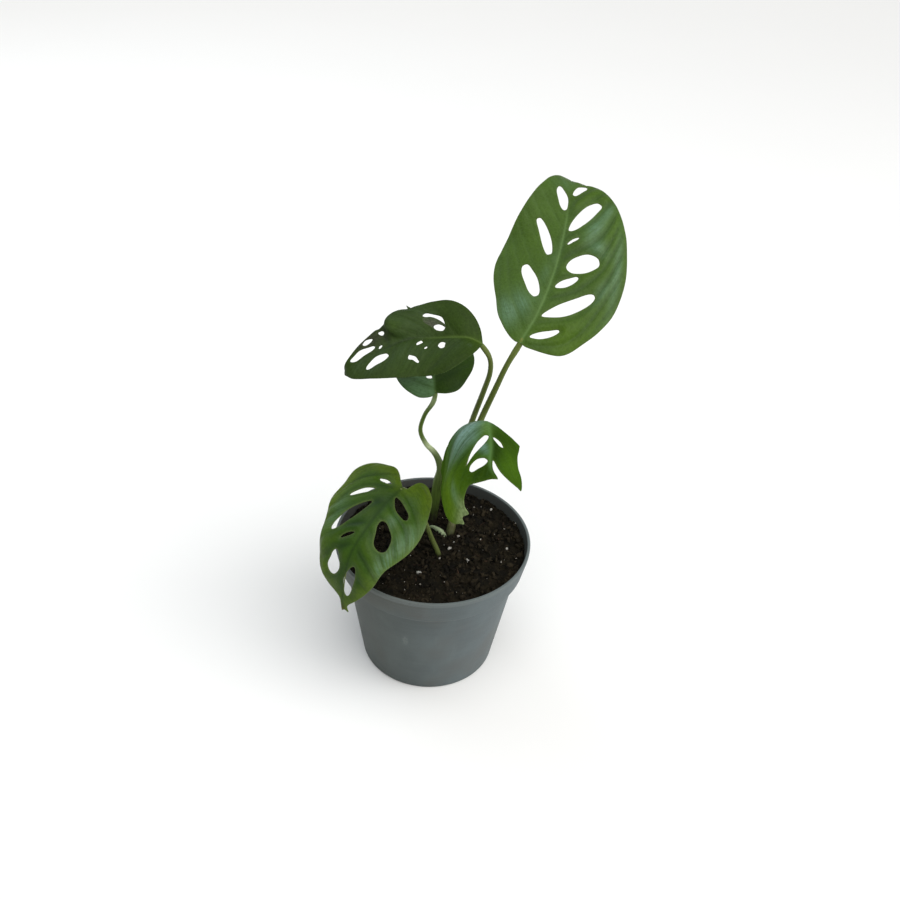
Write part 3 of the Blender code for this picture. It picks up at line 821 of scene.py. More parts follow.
@dataclass(frozen=True)
class VeinPlan:
    """How the side veins of one half of a blade run.

    A vein leaves the midrib at a place and climbs by lean millimetres for each millimetre out, more by
    lean_more towards the tip. It curls up besides: the climb grows with a power of the distance out, until
    it is steeper by steep at reach millimetres out. puff is how high the blade swells between veins, gap
    about how far apart they are where there are no holes, and shade how dark the valley over each is.
    """

    lean: float
    lean_more: float
    steep: float = 2.16
    reach: float = 30.0
    power: float = 3.0
    puff: float = 0.3
    gap: float = 13.0
    shade: float = 0.15

    def climb(self, start: np.ndarray, length: float) -> np.ndarray:
        """How steeply a vein leaves a midrib of a length, by where it starts."""
        return self.lean + self.lean_more * (start / length).clip(-0.3, 1.2)

    def curl(self, out: np.ndarray) -> np.ndarray:
        """How far a vein has curled up: the integral of steep * (out / reach)^power, and straight beyond."""
        bent = self.reach / (self.power + 1) * (out / self.reach).clip(0, 1) ** (self.power + 1)
        return self.steep * (bent + (out - self.reach).clip(0))

    def origin(self, flat: np.ndarray, length: float) -> np.ndarray:
        """Where on the midrib a vein through each point starts, by Newton's method.

        Args:
            flat: (side, along) points.
            length: The midrib's length.

        Returns:
            A place along the midrib for each point.
        """
        out, along = np.abs(flat[:, 0]), flat[:, 1]
        start = along - self.lean * out
        for _ in range(6):
            miss = start + self.climb(start, length) * out + self.curl(out) - along
            start = start - miss / (1 + self.lean_more / length * out)
        return start

    def slope(self, flat: np.ndarray, start: np.ndarray, length: float) -> np.ndarray:
        """How steeply the vein through each point climbs there."""
        curled = self.steep * (np.abs(flat[:, 0]) / self.reach).clip(0, 1) ** self.power
        return self.climb(start, length) + curled


@dataclass(frozen=True)
class Leaf:
    """One leaf, in the same words and sizes as its solid, with its own looks.

    midrib is its points in space, base first. faces are directions that the upper face looks in, evenly
    from base to tip. right and left are the flat outline from base to tip. bend_right and bend_left are
    (degrees at the midrib, degrees more for each millimetre out), evenly from base to tip, and hang is the
    steepest that the blade gets. petiole is (x, y, z, radius), foot first. The midrib's line fades out at
    about rib_end of its length. drawn says how far parts of the blade are drawn towards its tip, where a
    lobe folds over what lies beyond it. The bloom patches are painted sheen, the dark ones painted shade
    and the warm ones a yellower green that is mostly painted glow. halo is how much yellower the margin
    itself is. The petiole darkens by dirt and painted shade below the height dirty, knee is how pale its
    top is, and petiole_highlight how strong the painted highlight part way up it is.
    """

    name: str
    midrib: tuple[Place, ...]
    faces: tuple[Place, ...]
    right: tuple[Flat, ...]
    left: tuple[Flat, ...]
    bend_right: tuple[Flat, ...]
    bend_left: tuple[Flat, ...]
    holes: tuple[Hole, ...]
    petiole: tuple[Four, ...]
    finish: BladeFinish
    stalk: StalkFinish
    veins_right: VeinPlan
    veins_left: VeinPlan
    hang: float = 180.0
    ripple: float = 0.5
    # Patches of painted light and shade: yellow-green ones mostly painted glow, dark ones painted shade,
    # blue-white ones painted sheen.
    yellow_and_glow: tuple[Patch, ...] = ()
    dark: tuple[Patch, ...] = ()
    painted_sheen: tuple[Patch, ...] = ()
    dry: tuple[Patch, ...] = ()
    puffs: tuple[Patch, ...] = ()
    creases: tuple[Crease, ...] = ()
    drawn: tuple[Patch, ...] = ()
    # The petiole darkens from this height down, by dirt and painted shade.
    dirt_and_shade_top: float = 92.0
    knee: float = 0.1
    halo: float = 0.0
    # How strong the painted highlight part way up the petiole is.
    petiole_highlight: float = 0.0
    rib_width: float = 0.85
    rib_end: float = 0.9


# In each leaf below, the blue-white patches are painted sheen, the dark ones painted shade, and the
# yellow-green ones mostly painted glow of light shining through.
LEAF_A = Leaf(
    name="leaf_a",
    midrib=((42.3, 20, 217.4), (51.7, 33, 230.8), (59.5, 52, 245.7), (64.8, 74, 260.4), (67.2, 92, 270.2),
            (68.4, 104, 275), (69.3, 114, 276.3), (70.6, 124, 273), (72, 131, 266)),
    faces=((-0.1, -0.75, 0.6), (-0.1, -0.75, 0.65), (0, -0.3, 0.9)),
    right=((5, -0.6), (18, 2), (25, 6), (30.5, 15), (36, 24), (39.5, 33), (40.5, 44), (40, 55), (37.5, 68),
           (34.5, 80), (29.5, 93), (22.8, 105.5), (15.8, 117), (8.5, 127.5), (3.5, 134)),
    left=((-3, -0.5), (-8, 1), (-15, 5), (-22, 11), (-28.5, 23), (-34.5, 37), (-36.5, 48), (-35, 60),
          (-32.5, 71), (-29.5, 82), (-25.5, 92), (-20.3, 103), (-14.5, 114), (-8.5, 124.5), (-3.5, 133)),
    bend_right=((-8, 0.35), (-8, 0.4), (-8, 0.4), (-8, 0.5), (16, 1.2)),
    bend_left=((12, 0.2), (12, 0.3), (10, 0.3), (-7, 0.1), (-12, 0.1)),
    holes=(
        Hole((-5.3, 29.7), (-18.3, 49.6), 7.7, 0.5, 0.36),
        Hole((-5.6, 58.5), (-16.4, 83.2), 5.4, 0.44, 0.28, 0.04),
        Hole((-1.8, 90.2), (-6.6, 108.7), 5.6, 0.48),
        Hole((3, 5.7), (15.6, 15.7), 3.8),
        Hole((2.7, 19.4), (26.1, 39.3), 7.4, 0.6, 0.38),
        Hole((3.4, 38.2), (14.1, 46.8), 4.2),
        Hole((6, 51.2), (23.2, 58.8), 11.6, 0.54),
        Hole((3.3, 66.4), (8.9, 71.6), 1.7),
        Hole((2.5, 75.7), (18.2, 96.2), 8.4, 0.6, 0.38),
        Hole((2.6, 102), (8.8, 113.4), 5.2, 0.55, 0.34),
    ),
    petiole=((15.4, 22.0, 126.4, 2.0), (18.1, 23.6, 139, 1.95), (24.5, 25.6, 161.5, 1.9),
             (31.2, 24, 184, 1.75), (36.2, 22, 201, 1.6)),
    finish=BladeFinish("leaf_a_blade", green=(0.045, 0.091, 0.0105), yellow_and_glow=(0.07, 0.132, 0.009),
                       dark=(0.02, 0.047, 0.006), painted_sheen=(0.095, 0.185, 0.095), rib=(0.14, 0.24, 0.075),
                       wax=0.25, rib_share=0.52, streaks=0.55),
    stalk=StalkFinish("leaf_a_petiole", green=(0.092, 0.122, 0.024), brown_share=0.4),
    veins_right=VeinPlan(0.4, 1.0, 3.2, power=4, puff=1.5, gap=15, shade=0.75),
    veins_left=VeinPlan(0.9, 1.4, puff=0.22, gap=14, shade=0.08),
    ripple=0.3,
    painted_sheen=(Patch(-17, 14, 9, 18, 1.0, 25), Patch(17, 79, 5, 6, 0.85), Patch(22.5, 89, 3, 8, 0.8, 25),
           Patch(29, 42, 3, 8, 0.7, 20), Patch(20, 67, 8, 4.5, 0.8, 35), Patch(34.5, 55, 2.5, 22, 0.7, -6),
           Patch(-6, 40, 3, 26, 0.3, 12), Patch(-2, 112, 9, 7, 0.35)),
    yellow_and_glow=(Patch(20, 12, 16, 9, 0.7), Patch(4, 118, 10, 14, 0.4), Patch(-18, 65, 8, 25, 0.2)),
    dark=(Patch(4, 62, 6, 30, 0.25),),
    dry=(Patch(0, 136, 4.5, 4, 0.75), Patch(10, 126, 3.5, 7, 0.45, 30)),
    puffs=(Patch(8, 118, 7, 9, -0.9, -20),),
    rib_width=0.7,
    rib_end=0.66,
)
LEAF_B = Leaf(
    name="leaf_b",
    midrib=((21.6, 15, 218), (11.7, 14, 222.1), (-4.1, 16, 219.5), (-18.9, 14, 218.6), (-31.8, 8, 215.5),
            (-42.5, 2, 212), (-50.5, -1, 208), (-53.5, 0.8, 204), (-52.3, 5, 200.5)),
    faces=((0.1, -0.35, 0.94), (0, -0.35, 0.94), (-0.5, -0.4, 0.8), (-0.9, -0.5, 0.4)),
    right=((7, 3.5), (14, 9), (20.5, 15.5), (23.3, 22), (22.8, 29), (21, 36), (19.8, 44), (18, 48),
           (15.2, 51.5), (14.8, 57), (12.6, 63.5), (9.4, 70.5), (6, 77), (2.6, 83)),
    left=((-10, 5), (-17, 9), (-22.5, 12.8), (-26, 18), (-27, 26), (-26.7, 36), (-25.5, 47), (-23.5, 57),
          (-20.5, 63), (-17, 69), (-13, 74), (-8.6, 78.8), (-4, 83)),
    bend_right=((-25, 0.5), (-20, 0.6), (-10, 0.8), (-5, 0.8)),
    bend_left=((-15, 0.5), (-10, 0.6), (0, 0.8), (0, 1.0)),
    holes=(
        Hole((4.2, 23), (14.3, 33.5), 7.5, uneven=0.12),
        Hole((9.6, 54.0), (13.0, 54.4), 2.8),
        Hole((10.0, 60), (8.8, 66.5), 3.2, uneven=0.12),
        Hole((4.0, 61.4), (2.5, 77.8), 4.4, 0.5, 0.4, 0.15),
        Hole((1.4, 60.0), (2.8, 57.5), 1.3),
        Hole((-1.5, 34), (-5, 39.3), 1.9, 0.5, 0.36, 0.12),
        Hole((-6.8, 32.8), (-8.4, 34.8), 1.2),
        Hole((-4.0, 24.4), (-8.8, 22.6), 3.9, 0.5, 0.36, 0.16),
        Hole((-12, 47.6), (-17.2, 41), 3.9, 0.36, 0.46, 0.14),
        Hole((-5, 57.8), (-7.8, 71.8), 4.6, 0.36, 0.36, 0.12),
    ),
    petiole=((11.8, 20.0, 101.5, 1.3), (11.0, 21.9, 106.5, 1.95), (10.3, 23.9, 112, 1.9),
             (12.4, 25.8, 126, 1.9), (15.4, 25.4, 143, 1.85), (19.5, 24, 162.4, 1.75),
             (24.5, 22, 183.7, 1.65), (27, 20, 197.3, 1.55), (25.9, 18, 207.8, 1.45)),
    finish=BladeFinish("leaf_b_blade", green=(0.0205, 0.042, 0.0035), roughness=0.52, shine=0.1, wax=0.05,
                       painted_sheen=(0.036, 0.062, 0.024), rib=(0.085, 0.14, 0.025), rim=(0.04, 0.06, 0.015),
                       yellow_and_glow=(0.04, 0.08, 0.005), dark=(0.014, 0.023, 0.009), dry=(0.06, 0.055, 0.038),
                       vein_share=0.06, rim_share=0.2),
    stalk=StalkFinish("leaf_b_petiole", green=(0.074, 0.098, 0.02), brown_share=0.4),
    veins_right=VeinPlan(0.5, 0.9, puff=0.8, gap=12, shade=0.3),
    veins_left=VeinPlan(0.5, 0.9, puff=0.6, gap=12, shade=0.25),
    painted_sheen=(Patch(14, 38, 9, 9, 0.6), Patch(-8, 42, 10, 12, 0.7), Patch(-6, 20, 6, 10, 0.5),
           Patch(-3.5, 15, 1.6, 1.2, 0.7), Patch(-7, 8.5, 1.1, 1.0, 0.9), Patch(-6, 66, 8, 14, 0.7)),
    yellow_and_glow=(Patch(0, 2, 5, 8, 0.5), Patch(10, 44, 4, 4, 0.7)),
    dark=(Patch(9, 60, 6, 14, 0.5), Patch(0, 47, 0.9, 15, 0.7), Patch(7, 53.6, 8, 0.9, 0.6, 8)),
    puffs=(Patch(11, 43.2, 8.5, 7.0, 3.0, 8, 3), Patch(12, 33, 9, 5, 0.5), Patch(19.5, 39.3, 2.2, 1.6, -1.4)),
    creases=(Crease((3.0, 54.0), (14, 54.0), 1.3, 1.2),),
    drawn=(Patch(11, 43.2, 9, 7.4, 2.7, 8, 4),),
    dry=(Patch(0, 88, 3, 3.5, 0.6), Patch(10, 62, 6, 9, 0.6)),
    rib_end=0.34,
)
LEAF_C = Leaf(
    name="leaf_c",
    midrib=((-3.3, 14, 184.6), (-4.9, 24, 189.8), (-6.8, 38, 192.1), (-8.8, 52, 194), (-13.4, 67, 196.9),
            (-19.7, 80, 198.4), (-26.1, 92, 198.3)),
    faces=((0, -0.3, 0.95), (0, -0.2, 0.98), (0, 0, 1)),
    right=((2.5, -0.3), (7, -0.5), (12, 0.9), (16, 4.5), (20.5, 12), (24.5, 22), (26.5, 33), (25, 43),
           (20.5, 51.5), (16, 57), (13.2, 62), (10.8, 64.9), (8, 66.3), (4.8, 66.6), (2.9, 70), (1.7, 77)),
    left=((-1.8, -1.9), (-5, -2.6), (-9.7, -1.8), (-14.2, 1.5), (-18.5, 6.3), (-21.5, 13), (-22.8, 22),
          (-22, 33), (-19, 45), (-14.5, 55), (-9.5, 62.5), (-5.5, 67), (-2.9, 71.5), (-1.6, 77)),
    bend_right=((0, 0.8), (0, 0.8), (5, 0.6)),
    bend_left=((0, 0.8), (5, 0.8), (10, 0.6)),
    holes=(
        Hole((-1.1, 10.3), (-4.4, 11.6), 2.4),
        Hole((-1.7, 34.5), (-8.8, 49.5), 5.5),
        Hole((-4.5, 21.5), (-15, 34.5), 5.5),
        Hole((2.5, 33.5), (11.5, 45), 5.5),
        Hole((3.2, 15), (14.5, 27), 6.0),
        Hole((6.2, 54), (13.2, 56.2), 6.4),
        Hole((-1.9, 54.5), (-4.8, 61), 2.4),
    ),
    petiole=((-1.9, 20.2, 66, 2.4), (-1.3, 20.9, 81, 2.5), (-0.7, 24.2, 90, 2.8), (0, 27, 99, 3.1),
             (0.9, 28, 110, 3.2), (2.2, 27, 120.3, 2.7), (0.5, 25, 129.2, 2.1), (-2.5, 23, 136.5, 1.8),
             (-7.8, 21, 144.2, 1.5), (-11.2, 19, 154.8, 1.3), (-9, 17, 167, 1.25), (-4.6, 15, 177, 1.3)),
    finish=BladeFinish("leaf_c_blade", green=(0.027, 0.062, 0.006), roughness=0.46, wax=0.15,
                       painted_sheen=(0.13, 0.245, 0.11), rib=(0.07, 0.13, 0.02), rim=(0.05, 0.08, 0.02),
                       rib_share=0.3, dry=(0.1, 0.1, 0.075), streaks=0.35),
    stalk=StalkFinish("leaf_c_petiole", green=(0.072, 0.118, 0.02), pale=(0.55, 0.64, 0.36), brown_share=0.4),
    veins_right=VeinPlan(0.5, 0.8, puff=0.35, shade=0.2),
    veins_left=VeinPlan(0.5, 0.8, puff=0.35, shade=0.2),
    painted_sheen=(Patch(-8, 5, 12, 14, 1.0, kept=True), Patch(-1.2, 2, 1.6, 6, 0.6, kept=True)),
    dark=(Patch(10, 12, 16, 22, 0.75, kept=True),),
    dirt_and_shade_top=104.0,
    knee=0.35,
    dry=(Patch(0, 84, 3, 4, 0.6), Patch(6, 59, 9, 8, 0.8)),
    petiole_highlight=0.9,
    rib_end=0.4,
)
LEAF_D = Leaf(
    name="leaf_d",
    midrib=((25.5, 11, 166), (26.5, 2, 175.5), (27.3, -8, 180.5), (29, -30, 181.8), (28.4, -44, 183.3),
            (28.6, -53, 184.1), (30, -59, 184.1), (32.5, -64, 184.6)),
    faces=((0, -0.1, 0.98), (0, -0.2, 0.98), (0, -0.2, 0.98)),
    right=((5, -4), (13, -6.5), (23, -4), (32, 3.5), (38.5, 14), (42, 26), (42.6, 38), (42.2, 49),
           (40.6, 58), (39.6, 66), (38.8, 71.5), (36.4, 75.6), (33.4, 78.2), (31.2, 80.6), (29.4, 78.8),
           (27.2, 79.4), (24.2, 81.2), (22.9, 77.9), (20.7, 75.8), (17.8, 74.4), (14, 73.2), (9.5, 75),
           (6, 76.6), (2.6, 78.4)),
    left=((-4, -4), (-11, -5.5), (-18, -0.5), (-23, 8), (-24.3, 18), (-23, 29), (-21, 38), (-21.3, 46),
          (-24.5, 53), (-25.6, 62), (-22.5, 71), (-18.5, 76), (-14.5, 74.5), (-10, 68.5), (-5.5, 65),
          (-2.6, 60.5), (-1.7, 64), (-1.5, 71), (-1.8, 77)),
    bend_right=((-4, 2.85), (-2, 2.5), (10, 2.0), (25, 1.6)),
    bend_left=((25, 1.0), (30, 0.8), (35, 0.7), (35, 0.7)),
    hang=77.0,
    holes=(
        Hole((1.7, 36.6), (14.2, 61.0), 4.4, 0.27, 0.58),
        Hole((2.2, 61.0), (11.3, 66.6), 8.4, 0.42, 0.42),
        Hole((-2.2, 37.4), (-8.8, 41), 5.0),
    ),
    petiole=((11.6, 18.6, 96.5, 1.2), (12.5, 17.3, 101, 1.75), (13.8, 16, 106, 1.75),
             (13.6, 17.1, 125, 1.65), (16, 17.3, 142, 1.5), (20.3, 15.5, 156, 1.4), (24, 12.8, 163.5, 1.35)),
    finish=BladeFinish("leaf_d_blade", green=(0.038, 0.088, 0.006), shine=0.0, wax=0.5,
                       painted_sheen=(0.18, 0.315, 0.265), yellow_and_glow=(0.09, 0.168, 0.01),
                       rib=(0.1, 0.2, 0.06), dry=(0.36, 0.44, 0.22), rim=(0.07, 0.11, 0.02),
                       vein_share=0.04, streaks=0.6),
    stalk=StalkFinish("leaf_d_petiole", green=(0.075, 0.108, 0.02)),
    veins_right=VeinPlan(0.45, 0.9, 1.3, puff=0.6, gap=11, shade=0.3),
    veins_left=VeinPlan(0.5, 0.8, puff=0.2, gap=14, shade=0.1),
    painted_sheen=(Patch(13.5, 31, 7, 17, 1.0, 36), Patch(13, 22, 7, 9, 0.5), Patch(25, 70, 2.5, 7, 0.25),
           Patch(4.5, 48, 3, 8, 0.75, -20, kept=True)),
    yellow_and_glow=(Patch(-16, 56, 8, 20, 0.12), Patch(2, 27, 4, 9, 0.8), Patch(31, 70, 11, 15),
          Patch(32, 50, 8, 14, 0.45)),
    dark=(Patch(4, 72, 10, 8, 0.8), Patch(-12, 30, 12, 14, 0.6, kept=True),
          Patch(-3, 50, 5, 18, 1.0, kept=True), Patch(18, 52, 5, 7, 0.3)),
    dry=(Patch(29, 80.5, 7, 4.5, 0.65), Patch(23, 77, 2.5, 4, 0.3)),
    rib_width=1.7,
)
LEAF_E = Leaf(
    name="leaf_e",
    midrib=((-18.8, -14, 136.6), (-28, -27, 133.7), (-36.7, -41, 127.6), (-44.5, -51, 116.8),
            (-47.5, -56, 103.8), (-48.3, -58, 93.3), (-48.8, -60.5, 81.5)),
    faces=((-0.1, -0.4, 0.9), (-0.3, -0.5, 0.8), (-0.5, -0.6, 0.6)),
    right=((4.5, -3.8), (9, -8), (14, -10.6), (20.5, -10), (28, -8.3), (32.5, -4.5), (34.8, 3), (34.4, 13),
           (34, 24), (32, 36), (27.5, 46), (25.5, 54), (22.5, 63), (17.5, 70.5), (11.5, 75.2), (5.5, 78),
           (2, 80.5)),
    left=((-2.4, -0.8), (-3, -4.5), (-4.8, -9.5), (-9, -10.8), (-13.5, -9.2), (-18.5, -5.2), (-23, 3),
          (-26.8, 12), (-28.8, 22), (-28.2, 32.5), (-25.5, 42), (-22.3, 51), (-20, 59), (-17.8, 66),
          (-13.5, 73), (-8.5, 78.7), (-3.6, 83.6), (-4.6, 87.4), (-2, 86.6)),
    bend_right=((5, 0.5), (5, 0.5), (0, 0.5)),
    bend_left=((5, 0.8), (5, 1.0), (5, 1.0)),
    holes=(
        Hole((-1.8, 8.2), (-15.6, 16.6), 6.0, 0.6),
        Hole((-5.2, 26), (-15.4, 41.2), 9.6, 0.56),
        Hole((-4.4, 57.3), (-2.6, 77), 6.0),
        Hole((7.2, 1.7), (15.4, 2.1), 2.2),
        Hole((12.4, 9.6), (23.8, 19), 3.2),
        Hole((8.2, 17.8), (20.9, 44.8), 6.4, 0.52),
        Hole((5.2, 39.5), (11.5, 46.2), 2.0),
        Hole((10.2, 52.9), (9.6, 67.6), 9.2, 0.6),
    ),
    petiole=((6.2, -11.4, 68, 1.6), (5.2, -10.8, 80, 1.6), (3.2, -9.6, 86.5, 1.6), (-0.1, -8.2, 93.5, 1.55),
             (-4.5, -7.6, 105.2, 1.5), (-9.2, -7, 116.5, 1.4), (-14.2, -8.6, 127.8, 1.35)),
    finish=BladeFinish("leaf_e_blade", green=(0.034, 0.077, 0.0065), yellow_and_glow=(0.1, 0.158, 0.009),
                       dark=(0.0125, 0.034, 0.008), rib=(0.013, 0.032, 0.006), rim=(0.13, 0.16, 0.05),
                       painted_sheen=(0.09, 0.175, 0.1), rim_share=0.35),
    stalk=StalkFinish("leaf_e_petiole", green=(0.095, 0.12, 0.033), brown_share=0.5),
    veins_right=VeinPlan(0.3, 0.8, puff=1.2, gap=13, shade=0.45),
    veins_left=VeinPlan(0.3, 0.8, puff=1.2, gap=12, shade=0.45),
    ripple=0.9,
    painted_sheen=(Patch(-23, 30, 5, 20, 0.68, 8), Patch(-10, 24, 3, 8, 0.5), Patch(-19, 50, 4, 9, 0.45),
           Patch(25, 36, 5, 16, 0.5)),
    yellow_and_glow=(Patch(-16, -6, 10, 6, 0.4), Patch(20, -6, 14, 5, 0.35),
          Patch(34, 22, 5, 26, 0.35)),
    dark=(Patch(3, 14, 8, 14, 0.6), Patch(8, 38, 7, 20, 0.55), Patch(-6, 48, 5, 10, 0.3),
          Patch(-2, 74, 14, 13, 0.8)),
    dirt_and_shade_top=87.0,
    halo=0.5,
    dry=(Patch(0, 86, 2.5, 2.5, 0.5),),
    rib_width=1.1,
    rib_end=1.1,
)
LEAVES = (LEAF_A, LEAF_B, LEAF_C, LEAF_D, LEAF_E)


class BentSurface:
    """The curved surface that a flat blade is laid on.

    The midrib is a smooth curve. At each place along it the blade leaves to either side at an angle below
    level, and bends down along an arc until it hangs at its steepest, and then runs straight.
    """

    FINE = 0.5
    EVEN = 8.0
    EASE = 6.0
    PROBE = 0.4

    def __init__(self, leaf: Leaf) -> None:
        """Works out the midrib and, along it, the ways forward, up and to the side.

        Args:
            leaf: The leaf.
        """
        self.leaf = leaf
        self.midrib = spline(leaf.midrib, self.FINE)
        self.along = run_along(self.midrib)
        self.length = float(self.along[-1])
        forward = np.gradient(self.midrib, self.along, axis=0)
        self.forward = unit(evened(forward, round(self.EVEN / self.FINE)))
        up = self.spread(leaf.faces)
        self.up = unit(up - np.sum(up * self.forward, axis=-1, keepdims=True) * self.forward)
        self.side = np.cross(self.forward, self.up)
        self.bend_right, self.bend_left = self.spread(leaf.bend_right), self.spread(leaf.bend_left)

    def spread(self, values: tuple) -> np.ndarray:
        """Values given evenly from base to tip, drawn straight between them and then evened out twice.

        Args:
            values: Rows of numbers.

        Returns:
            A row for each point of the midrib.
        """
        values = np.array(values, float)
        places = np.linspace(0, self.length, len(values))
        rows = np.stack([np.interp(self.along, places, column) for column in values.T], axis=-1)
        reach = round(self.EASE / self.FINE)
        return evened(evened(rows, reach), reach)

    def read(self, rows: np.ndarray, along: np.ndarray) -> np.ndarray:
        """Rows kept for each midrib point, read at places along."""
        return np.stack([np.interp(along, self.along, column) for column in rows.T], axis=-1)

    def place(self, flat: object, lift: float | np.ndarray = 0.0) -> np.ndarray:
        """Where flat points lie in space.

        Args:
            flat: (side, along) points.
            lift: How far each is raised along the midrib's upward way.

        Returns:
            Points in space: midrib + level distance to the side + drop along the arc.
        """
        flat = np.array(flat, float)
        side, along = flat[..., 0], flat[..., 1]
        held = along.clip(0, self.length)
        right, left = self.read(self.bend_right, held), self.read(self.bend_left, held)
        bend = np.radians(np.where((side >= 0)[..., None], right, left))
        start, rate = bend[..., 0], bend[..., 1]
        out = np.abs(side)
        curved = np.minimum(out, ((radians(self.leaf.hang) - start) / rate).clip(0))
        straight = out - curved
        steep = start + rate * curved
        level = (np.sin(steep) - np.sin(start)) / rate + straight * np.cos(steep)
        drop = (np.cos(start) - np.cos(steep)) / rate + straight * np.sin(steep)
        return (self.read(self.midrib, held) + (along - held)[..., None] * self.read(self.forward, held)
                + (np.sign(side) * level)[..., None] * self.read(self.side, held)
                + (lift - drop)[..., None] * self.read(self.up, held))

    def normal(self, flat: np.ndarray) -> np.ndarray:
        """Which way the upper face looks: the cross product of the steps to the side and along."""
        across, onward = (self.place(flat + way) - self.place(flat - way)
                          for way in self.PROBE * np.eye(2))
        return unit(np.cross(across, onward))


@dataclass
class Stalk:
    """A petiole, stem or root: a round profile carried along a smooth path."""

    # Paleness, with a painted highlight among it.
    PALE_AND_HIGHLIGHT = "pale"
    BROWN = "brown"
    DIRT_AND_SHADE = "dirt"

    sides: int = 18
    step: float = 1.0
    groove: float = 0.0
    turn_span: float = 0.1

    def tube(self, path: np.ndarray, radii: np.ndarray) -> tuple[np.ndarray, np.ndarray, np.ndarray]:
        """A tube about a path.

        Each ring lies across the path. Its first way is the binormal of the plane that fits the path best,
        made square to the path. The radius is cut by groove where the profile looks to its second way.

        Args:
            path: Points in space, one a row.
            radii: A radius for each.

        Returns:
            The tube's points and triangles, and a (turn, run) for each point.
        """
        ways = unit(np.gradient(path, axis=0))
        flat_way = np.linalg.svd(path - path.mean(axis=0))[2][-1]
        first = unit(flat_way - (ways @ flat_way)[:, None] * ways)
        second = np.cross(ways, first)
        turn = full_turn(self.sides)
        cut = 1 - self.groove * bell(turn - pi / 2, 0.5)
        x, y = (np.cos(turn) * cut)[:, None], (np.sin(turn) * cut)[:, None]
        ring = x * first[:, None, :] + y * second[:, None, :]
        points, faces = capped_tube(path[:, None, :] + radii[:, None, None] * ring)
        round_way = self.turn_span * 2 * np.abs(np.arange(self.sides) / self.sides - 0.5)
        uv = np.stack(np.broadcast_arrays(round_way, run_along(path)[:, None] / UV_SPAN), axis=-1)
        return points, faces, np.vstack((uv.reshape(-1, 2), uv[0].mean(axis=0), uv[-1].mean(axis=0)))

    def each(self, values: np.ndarray) -> np.ndarray:
        """A ring's value given to each of its points, held within 0 and 1, and 0 at the two ends."""
        return np.concatenate((np.repeat(values, self.sides), [0.0, 0.0])).clip(0, 1)


